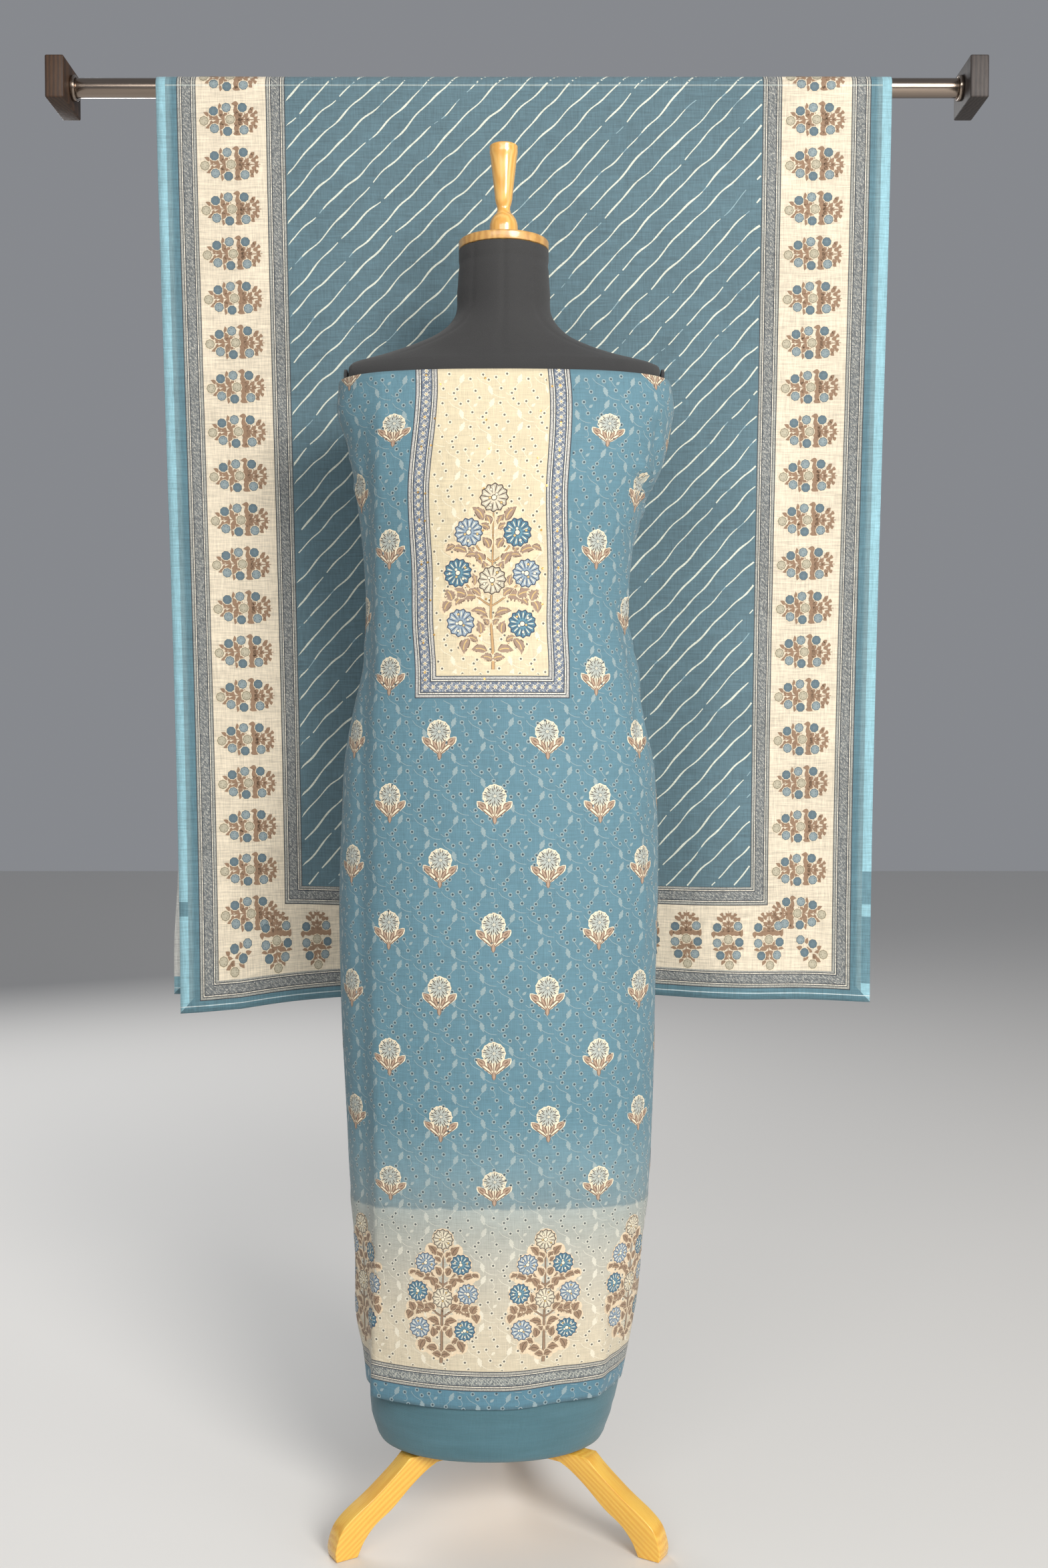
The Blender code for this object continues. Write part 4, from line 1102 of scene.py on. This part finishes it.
def dupatta_wave(across, fallen):
    """Distance towards the viewer at a place across, and how far down the fall, from 0 at the rod to 1."""
    swell = DUPATTA_WAVE * smooth_step((fallen - 0.12) / 0.85)
    turn = 2.0 * math.pi * across / WAVE_LENGTH
    return swell * (0.75 * np.sin(turn + 0.9) + 0.35 * np.sin(0.53 * turn + 2.1 + 0.8 * fallen))


def dupatta_width(fallen):
    return DUPATTA_CUT - 0.051 * smooth_step(0.15 + 0.85 * fallen) + 0.051 * smooth_step(0.15)


# Distances in from the dupatta's side: selvedge, plain edge, outer band, cream border, inner band
SIDE_EDGES = (0.0123, 0.0270, 0.0525, 0.1445, 0.1699)
# The same at its two ends, without the selvedge: plain edge, outer band, cream border, inner band
END_EDGES = (0.0150, 0.0387, 0.1266, 0.1515)
# Stretches of the front fall's selvedge that are turned under, up from its end
FOLDED_LEFT, FOLDED_RIGHT = (0.1137, 0.1316), ((0.0247, 0.1117), (0.1278, 0.1718))
# The side plants: height of the lowest, step up the cloth
# The end plants: first and last place across, how many, distance from the end
SHAWL_START, SHAWL_STEP = 0.7250, 0.0583
END_PLANTS, END_MIDDLE = (0.1325, DUPATTA_CUT - 0.1425, 13), 0.0805
CORNER_LEFT, CORNER_RIGHT, CORNER_UP = 0.0752, 0.0800, 0.0640
# The wavy lines: where the first starts, the step to the next, the length of one piece
LINE_START, LINE_STEP, LINE_PIECE = -0.5172, 0.0315, 0.0048
THIN_SPOT = 0.52  # strength under which a line is faint and may break
CORNER_HEADS = [(-15.7, -3.5, 0), (-0.9, -16.5, 0), (-0.9, 10.4, 2), (10.7, -1.2, 2), (16.7, 15.7, 1)]
CORNER_LEAVES = [
    (-10.8, 5, 7, 4.6, 130), (-9.5, -10.5, 8, 4.8, 225), (8.6, -10.0, 9, 4.8, -40),
    (6.8, 14.2, 8, 4.4, 100), (18.2, 6.2, 8, 4.6, 0), (-7.6, -1.6, 9, 4.0, 10), (-1.6, -7.2, 9, 4.0, 82),
    (3.4, 3.0, 10, 4.6, 45), (-5.6, -6.0, 9, 4.4, 225),
]


def dupatta_cloth():
    across = np.linspace(-0.5, 0.5, 119)
    fall = RAIL_Z - FRONT_FALL_Z
    radius = RAIL_RADIUS + FIT_GAP + DUPATTA_WALL
    rows, lengths = [], []

    def behind_shift(z):
        """How far the back fall hangs to the left, so that its edge shows beside the front one."""
        return 0.006 * (RAIL_Z - z) / fall + 0.008 * float(smooth_step((0.82 - z) / 0.16))

    def add_row(side, z, angle, length):
        fallen = 0.0 if angle is not None else (RAIL_Z - z) / fall
        x = DUPATTA_X + 0.0024 * fallen - (side > 0) * behind_shift(z) + across * dupatta_width(fallen)
        wave = dupatta_wave(across * DUPATTA_CUT, fallen)
        wave = wave + 0.0005 * np.sin(across * 52.0 + 9.0 * fallen) * smooth_step(fallen * 4.0)
        if angle is None:
            sag = smooth_step((0.745 - z) / 0.12) * (side < 0)
            low = np.interp(x, [-0.46, -0.37, -0.24, 0.10, 0.30, 0.47],
                            [-0.0185, -0.0140, 0.0030, 0.0060, 0.0010, -0.0035])
            y, level = RAIL_Y + side * radius - wave, z + sag * low
        else:
            y = np.full(len(across), RAIL_Y - radius * math.cos(angle))
            level = np.full(len(across), RAIL_Z + radius * math.sin(angle))
        rows.append(np.column_stack([x, y, level]))
        lengths.append(length)

    for z in np.linspace(FRONT_FALL_Z, RAIL_Z, 132):
        add_row(-1.0, z, None, z - FRONT_FALL_Z)
    over = math.pi * radius
    for share in np.linspace(0.0, 1.0, 13)[1:-1]:
        add_row(0.0, 0.0, share * math.pi, fall + over * share)
    for z in np.linspace(RAIL_Z, BACK_FALL_Z, 116):
        add_row(1.0, z, None, fall + over + RAIL_Z - z)
    return Cloth(across * DUPATTA_CUT + DUPATTA_CUT / 2.0, lengths, np.array(rows))


def dupatta_finish(length):
    finish = Finish("dupatta_cloth", Sheen_Weight=0.2, Sheen_Roughness=0.5)
    where = finish.flat_place()
    along, up = finish.split(where)
    side = along.lowest(DUPATTA_CUT - along)
    end = up.lowest(length - up)
    teal, light, cream, field = dye(84, 120, 132), dye(140, 184, 196), dye(218, 206, 184), dye(86, 113, 123)
    tones = (dye(122, 126, 126), dye(228, 222, 206), dye(48, 54, 62), dye(164, 164, 156))
    outer_edge = (side - SIDE_EDGES[1]).lowest(end - END_EDGES[0])
    outer = band_colour(finish, outer_edge, along + up, SIDE_EDGES[2] - SIDE_EDGES[1], *tones)
    cream_edge = (side - SIDE_EDGES[2]).lowest(end - END_EDGES[1])
    inner_edge = (side - SIDE_EDGES[3]).lowest(end - END_EDGES[2])
    inner = band_colour(finish, inner_edge, along + up, SIDE_EDGES[4] - SIDE_EDGES[3], *tones)
    field_edge = (side - SIDE_EDGES[4]).lowest(end - END_EDGES[3])
    colour = finish.mix(side.above(SIDE_EDGES[0], 0.0003), light, dye(112, 142, 150))
    colour = finish.mix(side.above(0.0185, 0.003), colour, teal)
    colour = finish.mix((side - end + 0.001).above(0.0) * end.below(0.020), colour, teal)
    behind = up.above(length / 2.0) * side.below(SIDE_EDGES[0])
    colour = finish.mix(behind * (up - length + 0.024).below(0.0), colour, dye(228, 228, 222))
    right = along.above(DUPATTA_CUT / 2.0)
    folded = up.between(*FOLDED_LEFT) * (1.0 - right)
    for stretch in FOLDED_RIGHT:
        folded = folded + up.between(*stretch) * right
    colour = finish.mix(folded * side.below(SIDE_EDGES[0], 0.0003) * 0.85, colour, teal)
    for edge, tone in ((outer_edge, outer), (cream_edge, cream), (inner_edge, inner), (field_edge, field)):
        colour = finish.mix(edge.above(0.0), colour, tone)
    stitch = end.between(0.0078, 0.0090, 0.0003)
    colour = finish.mix(stitch * 0.8, colour, dye(206, 220, 222))
    crown = up - (RAIL_Z - FRONT_FALL_Z)
    # Painted highlight: a pale line across the front fall just below the rod's crown, standing in for the
    # sheen where the cloth bends over the rod
    pressed_crease_and_painted_sheen = crown.between(-0.0022, -0.0006, 0.0004)
    colour = finish.mix(pressed_crease_and_painted_sheen * side.above(SIDE_EDGES[0]) * 0.40, colour, dye(214, 222, 214))
    woven(finish, colour, where, slub=0.32)
    return finish.material


def leheriya(pattern, length):
    """Wavy tie-dyed lines across the dupatta's blue field, with thin and broken spots."""
    bright, faint = dye(214, 218, 204), dye(142, 168, 176)
    generator = np.random.default_rng(7)
    left, right = SIDE_EDGES[4], DUPATTA_CUT - SIDE_EDGES[4]
    for start in np.arange(LINE_START, length, LINE_STEP):
        x = np.arange(left, right, LINE_PIECE)
        slow, fast, quick = generator.uniform(0, 2 * math.pi, 3)
        y = start + (x - left) + 0.0024 * np.sin(x * 34.0 + slow) + 0.004 * np.sin(x * 9.0)
        y += 0.0013 * np.sin(x * (112.0 + 9.0 * math.sin(fast)) + fast)
        y += 0.0009 * np.sin(x * (196.0 + 15.0 * math.sin(slow)) + quick)
        strength = generator.uniform(0.35, 1.0, len(x))
        strength = np.convolve(np.pad(strength, 1, mode="edge"), np.ones(3) / 3, mode="valid")
        width = 0.0036 * (strength - 0.16)
        for i in range(len(x) - 1):
            if strength[i] < THIN_SPOT and generator.random() < 0.38:
                continue
            art = Drawing()
            tone = bright if strength[i] > THIN_SPOT else faint
            path = (np.array([x[i], x[i + 1]]) + 1j * np.array([y[i], y[i + 1]])) * 1000.0
            art.stroke(path, [width[i] * 1000.0, width[i + 1] * 1000.0], 0, tone)
            pattern.put(art, 0.0, 0.0)


def make_dupatta():
    cloth = dupatta_cloth()
    length = cloth.up[-1]
    piece = cloth.sheet("dupatta_cloth", DUPATTA_WALL)
    put_on(piece, dupatta_finish(length), "dupatta_cloth", "dupatta")
    pattern = Print(cloth)
    shawl = shawl_drawing().joined()
    side_middle = (SIDE_EDGES[2] + SIDE_EDGES[3]) / 2.0
    for i in range(40):
        y = (SHAWL_START - FRONT_FALL_Z) + SHAWL_STEP * i
        if y > length - 0.10:
            break
        pattern.put(shawl, side_middle - 0.0012, y)
        if i == 0:
            pattern.put(shawl, DUPATTA_CUT - side_middle - 0.0030, y, mirrored=True)
        else:
            pattern.put(shawl, DUPATTA_CUT - side_middle, y)
    for x in np.linspace(*END_PLANTS):
        pattern.put(shawl, x, END_MIDDLE, turn=math.pi / 2.0)
        pattern.put(shawl, x, length - END_MIDDLE, turn=-math.pi / 2.0)
    corner = shawl_drawing(CORNER_HEADS, CORNER_LEAVES, stem=False).joined()
    for end in (CORNER_UP, length - CORNER_UP):
        pattern.put(corner, CORNER_LEFT, end)
        pattern.put(corner, DUPATTA_CUT - CORNER_RIGHT, end, mirrored=True)
    printed = put_on(pattern.make("dupatta_print"), print_finish("dupatta_dyes", 0.18), "dupatta_cloth")

    lines = Print(cloth)
    leheriya(lines, length)

    def in_field(x, y):
        return ((x > SIDE_EDGES[4]) & (x < DUPATTA_CUT - SIDE_EDGES[4])
                & (y > END_EDGES[3]) & (y < length - END_EDGES[3]))

    waves = put_on(lines.make("dupatta_lines", in_field), print_finish("resist_lines", 0.22), "dupatta_cloth")


def ring_mesh(name, rings):
    """A closed smooth body through level rings, capped at both ends."""
    count = len(rings[0])
    points = [point for ring in rings for point in ring]
    faces = [list(range(count - 1, -1, -1)), [(len(rings) - 1) * count + i for i in range(count)]]
    for level in range(len(rings) - 1):
        for i in range(count):
            j = (i + 1) % count
            low, high = level * count, (level + 1) * count
            faces.append([low + i, low + j, high + j, high + i])
    mesh = bpy.data.meshes.new(name)
    mesh.from_pydata(points, [], faces)
    work = bmesh.new()
    work.from_mesh(mesh)
    bmesh.ops.remove_doubles(work, verts=work.verts, dist=0.00001)
    bmesh.ops.recalc_face_normals(work, faces=work.faces)
    work.to_mesh(mesh)
    work.free()
    mesh.shade_smooth()
    mesh.set_sharp_from_angle(angle=math.radians(50.0))
    return linked(name, mesh)


def jersey_finish():
    finish = Finish("black_jersey", 0.9, Sheen_Weight=0.1, Sheen_Roughness=0.6)
    where = finish.solid_place()
    knit = finish.node("ShaderNodeTexVoronoi", {"feature": "F1"},
                       {"Vector": finish.scaled(where, (900.0, 900.0, 1100.0)), "Scale": 1.0}, 0)
    cloudy = finish.noise(where, 14.0, 4.0)
    finish.set("Base Color", finish.mix(cloudy, dye(40, 40, 41), dye(56, 56, 56)))
    finish.set("Normal", finish.bump(knit, 0.0006, 0.5))
    finish.set("Roughness", 0.85 + (cloudy - 0.5) * 0.2)
    return finish.material


FORM_SEAMS = (-0.128, 0.003, 0.134)  # along the form from its middle
NECK_SEAM = 1.5313


def make_form():
    count = 144
    jersey = jersey_finish()
    levels = [(row[0], np.array(row[1:])) for row in FORM_UNDERSIDE]
    for height in np.linspace(0.17, 1.285, 60):
        row = table_at(OUTLINE, height)
        under = np.array([row[0] - FORM_IN, row[1], row[2] - FORM_IN, row[3] - FORM_IN, row[4]])
        levels.append((height, under))
    heights = [np.linspace(1.31, 1.548, 60), [row[0] for row in FORM_SHOULDERS]]
    for height in np.unique(np.concatenate(heights)):
        levels.append((height, table_at(FORM_SHOULDERS, height)))
    rings = []
    for height, row in levels:
        around = 2.0 * half_loop(row)
        along = np.arange(count) / count * around
        signed = (along + around / 2.0) % around - around / 2.0
        groove = np.zeros(count)
        for seam in FORM_SEAMS:
            place = seam * min(1.0, row[0] / 0.18)
            groove -= 0.0011 * np.exp(-((signed - place) / 0.0035) ** 2)
        if abs(height - NECK_SEAM) < 0.004:
            groove -= 0.0008
        plan = on_loop(row, along, groove)
        rings.append([(x, y, height) for x, y in plan])
    body = ring_mesh("form_cover", rings)
    put_on(body, jersey, "black_jersey", "form_body")
    for name in ("arm_plate_left", "arm_plate_right"):
        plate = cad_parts[name]
        plate.data.materials.clear()
        plate.data.materials.append(jersey)
    return body


def mark_board(piece, out):
    """Writes on each vertex its place along, up and across the board that the piece is sawn from."""
    places = np.array([corner.co for corner in piece.data.vertices])
    along, across = np.array([out.x, out.y, 0.0]), np.array([-out.y, out.x, 0.0])
    board = piece.data.attributes.new("board", "FLOAT_VECTOR", "POINT")
    marks = np.column_stack([places @ along - 0.7 * places[:, 2], places[:, 2] + 0.7 * places @ along,
                             places @ across])
    board.data.foreach_set("vector", marks.astype(np.float32).ravel())


def wood_finish(name, pale, dark, grain, roughness=0.3, coat=0.5, board=False):
    """Varnished wood: long fine grain with darker year rings. grain stretches the pattern along the board."""
    finish = Finish(name, roughness, Coat_Weight=coat, Coat_Roughness=0.12)
    if board:
        where = finish.node("ShaderNodeAttribute", {"attribute_name": "board"}).outputs["Vector"]
    else:
        where = finish.solid_place()
    stretched = finish.scaled(where, grain)
    rings = finish.node("ShaderNodeTexWave", {"wave_type": "RINGS", "rings_direction": "Z"},
                        {"Vector": stretched, "Scale": 1.0, "Distortion": 4.0, "Detail": 3.0,
                         "Detail Scale": 1.5}, 1)
    fibre = finish.noise(finish.scaled(where, tuple(8.0 * g for g in grain)), 1.0, 4.0, 0.7)
    finish.set("Base Color", finish.mix((rings * 0.6 + fibre * 0.4).above(0.5, 0.45), pale, dark))
    finish.set("Normal", finish.bump(fibre, 0.0003, 0.4))
    finish.set("Roughness", roughness + (fibre - 0.5) * 0.2)
    return finish.material


def settled(name):
    """The piece just added, named, with its place, turn and size written into its mesh."""
    piece = bpy.context.object
    piece.name = piece.data.name = name
    bpy.ops.object.transform_apply(location=True, rotation=True, scale=True)
    return piece


def turned_piece(name, profile, x, y, material, slot):
    """A piece turned on a lathe: a ring is drawn out and resized step by step up its profile."""
    bpy.ops.object.select_all(action="DESELECT")
    height, radius = profile[0]
    bpy.ops.mesh.primitive_circle_add(vertices=72, radius=radius, fill_type="NGON", location=(x, y, height))
    piece = settled(name)
    bpy.ops.object.mode_set(mode="EDIT")
    bpy.ops.mesh.select_all(action="SELECT")
    for (low, narrow), (high, wide) in zip(profile, profile[1:]):
        bpy.ops.mesh.extrude_region_move(TRANSFORM_OT_translate={"value": (0.0, 0.0, high - low)})
        ratio = wide / narrow
        bpy.ops.transform.resize(value=(ratio, ratio, 1.0), center_override=(x, y, high))
    bpy.ops.mesh.select_all(action="SELECT")
    bpy.ops.mesh.normals_make_consistent(inside=False)
    bpy.ops.object.mode_set(mode="OBJECT")
    soften(piece, 0.0004)
    return put_on(piece, material, slot, name.removeprefix("turned_"))


def soften(piece, width, angle=35.0):
    bevel = piece.modifiers.new("edges", "BEVEL")
    bevel.width, bevel.segments, bevel.angle_limit = width, 3, math.radians(angle)
    bevel.limit_method = "ANGLE"
    apply_modifier(piece, bevel)
    bpy.ops.object.shade_smooth_by_angle(angle=math.radians(angle))


def fine_profile(profile, steps=4):
    """The profile with more rows, on a smooth curve through its own."""
    heights = [row[0] for row in profile]
    fine = np.interp(np.arange((len(heights) - 1) * steps + 1) / steps, np.arange(len(heights)), heights)
    return [(height, float(table_at(profile, height)[0])) for height in fine]


def smooth_path(points, steps=5):
    """Points on a smooth curve through the given ones."""
    points = np.array(points)
    slopes = np.gradient(points, axis=0)
    path = []
    for i in range(len(points) - 1):
        for step in range(steps):
            t = step / steps
            path.append((2 * t**3 - 3 * t**2 + 1) * points[i] + (t**3 - 2 * t**2 + t) * slopes[i]
                        + (3 * t**2 - 2 * t**3) * points[i + 1] + (t**3 - t**2) * slopes[i + 1])
    path.append(points[-1])
    return np.array(path)


def sawn_leg(name, heading, material):
    """A leg drawn out station by station from its flat end to its foot, along its sawn outline."""
    out = Vector((math.cos(math.radians(heading)), math.sin(math.radians(heading)), 0.0))
    side = Vector((-out.y, out.x, 0.0))
    axis = Vector((FORM_X, FORM_Y, 0.0))
    upper = np.vstack([LEG_UPPER[0], smooth_path(LEG_UPPER[1:])])
    lower = np.vstack([LEG_LOWER[0], smooth_path(LEG_LOWER[1:])])
    bpy.ops.object.select_all(action="DESELECT")
    bpy.ops.mesh.primitive_plane_add(size=LEG_WIDTH)
    leg = bpy.context.object
    leg.name = leg.data.name = "sawn_" + name
    for corner, (across, edge) in zip(leg.data.vertices, ((-1, lower), (1, lower), (-1, upper), (1, upper))):
        reach, z = edge[0]
        corner.co = (axis + out * float(reach) + side * (across * LEG_WIDTH / 2.0)
                     + Vector((0.0, 0.0, float(z))))
    bpy.ops.object.mode_set(mode="EDIT")
    bpy.ops.mesh.select_all(action="SELECT")
    for before_high, before_low, high, low in zip(upper, lower, upper[1:], lower[1:]):
        bpy.ops.mesh.extrude_region_move(TRANSFORM_OT_translate={"value": (0.0, 0.0, 0.0)})
        work = bmesh.from_edit_mesh(leg.data)
        for corner in work.verts:
            if corner.select:
                place = np.array([(corner.co - axis).dot(out), corner.co.z])
                top = np.hypot(*(place - before_high)) < np.hypot(*(place - before_low))
                step = (high - before_high) if top else (low - before_low)
                corner.co += out * float(step[0]) + Vector((0.0, 0.0, float(step[1])))
        bmesh.update_edit_mesh(leg.data)
    bpy.ops.mesh.select_all(action="SELECT")
    bpy.ops.mesh.normals_make_consistent(inside=False)
    bpy.ops.object.mode_set(mode="OBJECT")
    soften(leg, 0.0012, 50.0)
    mark_board(leg, out)
    return put_on(leg, material, "pine", name)


def make_stand():
    pine = wood_finish("pine", dye(240, 192, 84), dye(226, 168, 64), (5.0, 46.0, 70.0), 0.28, 0.6, board=True)
    honey = wood_finish("finial_wood", dye(240, 190, 108), dye(222, 164, 80), (70.0, 70.0, 12.0), 0.2, 0.9)
    neck = wood_finish("neck_wood", dye(212, 166, 96), dye(188, 138, 76), (60.0, 14.0, 60.0), 0.35, 0.5)
    turned_piece("turned_neck_cap", NECK_CAP, NECK_X, FORM_Y, neck, "neck_wood")
    turned_piece("turned_finial", fine_profile(FINIAL), NECK_X, FORM_Y, honey, "finial_wood")
    disc = turned_piece("turned_base_disc", BASE_DISC, FORM_X, FORM_Y, pine, "pine")
    mark_board(disc, Vector((0.0, 1.0, 0.0)))
    for name, heading in LEG_DIRECTIONS.items():
        sawn_leg(name, heading, pine)


def steel_finish():
    finish = Finish("brushed_steel", 0.2, Metallic=1.0)
    where = finish.solid_place()
    brushed = finish.noise(finish.scaled(where, (6.0, 1400.0, 1400.0)), 1.0, 3.0)
    finish.set("Base Color", finish.mix(brushed, dye(138, 124, 112), dye(164, 150, 138)))
    finish.set("Roughness", 0.13 + brushed * 0.16)
    finish.set("Normal", finish.bump(brushed, 0.0002, 0.3))
    return finish.material


def make_rail():
    steel = steel_finish()
    bpy.ops.object.select_all(action="DESELECT")
    length = 2.0 * (PLATE_INNER_X - FIT_GAP)
    bpy.ops.mesh.primitive_cylinder_add(vertices=64, radius=RAIL_RADIUS, depth=length,
                                        location=(0.0, RAIL_Y, RAIL_Z), rotation=(0.0, math.pi / 2.0, 0.0))
    rod = settled("steel_rod")
    soften(rod, 0.0006)
    put_on(rod, steel, "brushed_steel", "rod")
    for name, side in (("flange_left", -1.0), ("flange_right", 1.0)):
        bpy.ops.object.select_all(action="DESELECT")
        bpy.ops.mesh.primitive_cylinder_add(
            vertices=64, radius=FLANGE_RADIUS, depth=FLANGE_DEPTH - FIT_GAP,
            location=(side * (PLATE_INNER_X - (FLANGE_DEPTH + FIT_GAP) / 2.0), RAIL_Y, RAIL_Z),
            rotation=(0.0, math.pi / 2.0, 0.0))
        flange = settled("turned_" + name)
        bpy.ops.object.mode_set(mode="EDIT")
        bpy.ops.mesh.select_mode(type="FACE")
        bpy.ops.mesh.select_all(action="DESELECT")
        work = bmesh.from_edit_mesh(flange.data)
        for face in work.faces:
            face.select = abs(face.normal.x) > 0.9
        bmesh.update_edit_mesh(flange.data)
        bpy.ops.mesh.inset(thickness=FLANGE_RADIUS - RAIL_RADIUS - FIT_GAP, depth=0.0)
        bpy.ops.mesh.bridge_edge_loops()
        bpy.ops.mesh.select_all(action="SELECT")
        bpy.ops.mesh.normals_make_consistent(inside=False)
        bpy.ops.object.mode_set(mode="OBJECT")
        soften(flange, 0.0008)
        put_on(flange, steel, "brushed_steel", name)
    woods = {"wall_plate_left": (-1.0, "walnut", dye(72, 48, 28), dye(48, 31, 19)),
             "wall_plate_right": (1.0, "dark_wood", dye(66, 58, 54), dye(46, 40, 38))}
    thick, deep, high = PLATE_SIZE
    for name, (side, slot, pale, dark) in woods.items():
        material = wood_finish(slot, pale, dark, (60.0, 60.0, 10.0), 0.6, 0.0)
        bpy.ops.object.select_all(action="DESELECT")
        middle = side * (PLATE_INNER_X + thick / 2.0)
        bpy.ops.mesh.primitive_cube_add(size=1.0, location=(middle, RAIL_Y, RAIL_Z),
                                        scale=(thick, deep, high))
        plate = settled("planed_" + name)
        soften(plate, 0.0022)
        put_on(plate, material, slot, name)


def make_floor():
    bpy.ops.object.select_all(action="DESELECT")
    bpy.ops.mesh.primitive_plane_add(size=14.0, location=(0.0, 2.0, -0.0005))
    floor = bpy.context.object
    floor.name = "floor"
    finish = Finish("pale_floor", 0.6)
    finish.set("Base Color", dye(226, 224, 220))
    floor.data.materials.append(finish.material)


def add_light(name, place, target, size, power, colour=(1.0, 1.0, 1.0)):
    data = bpy.data.lights.new(name, "AREA")
    data.energy, data.color = power, colour
    if isinstance(size, tuple):
        data.shape, data.size, data.size_y = "RECTANGLE", *size
    else:
        data.shape, data.size = "DISK", size
    light = linked(name, data)
    light.location = place
    light.rotation_euler = (Vector(target) - Vector(place)).to_track_quat("-Z", "Y").to_euler()


def make_light():
    world = bpy.data.worlds.new("studio")
    bpy.context.scene.world = world
    world.use_nodes = True
    background = world.node_tree.nodes["Background"]
    background.inputs[0].default_value = (0.90, 0.93, 1.0, 1.0)
    background.inputs[1].default_value = 0.27
    add_light("above", (2.2, -4.4, 2.9), (0.0, 0.0, 1.0), 2.2, 220.0, (1.0, 0.97, 0.93))
    add_light("strip", (0.0, -3.9, 2.7), (0.0, 0.0, 1.6), (5.0, 0.9), 66.0, (1.0, 0.97, 0.93))
    add_light("left", (-1.2, -3.0, 1.8), (0.0, 0.0, 0.9), 1.4, 3.0)
    add_light("right", (2.4, -1.4, 1.6), (0.0, 0.0, 0.9), 1.4, 8.0)
    add_light("behind", (-1.6, 3.2, 2.4), (0.0, 0.0, 1.0), 1.8, 60.0)


add_camera()
form_cover = make_form()
make_stand()
make_salwar()
make_kameez()
make_rail()
make_dupatta()
make_floor()
make_light()
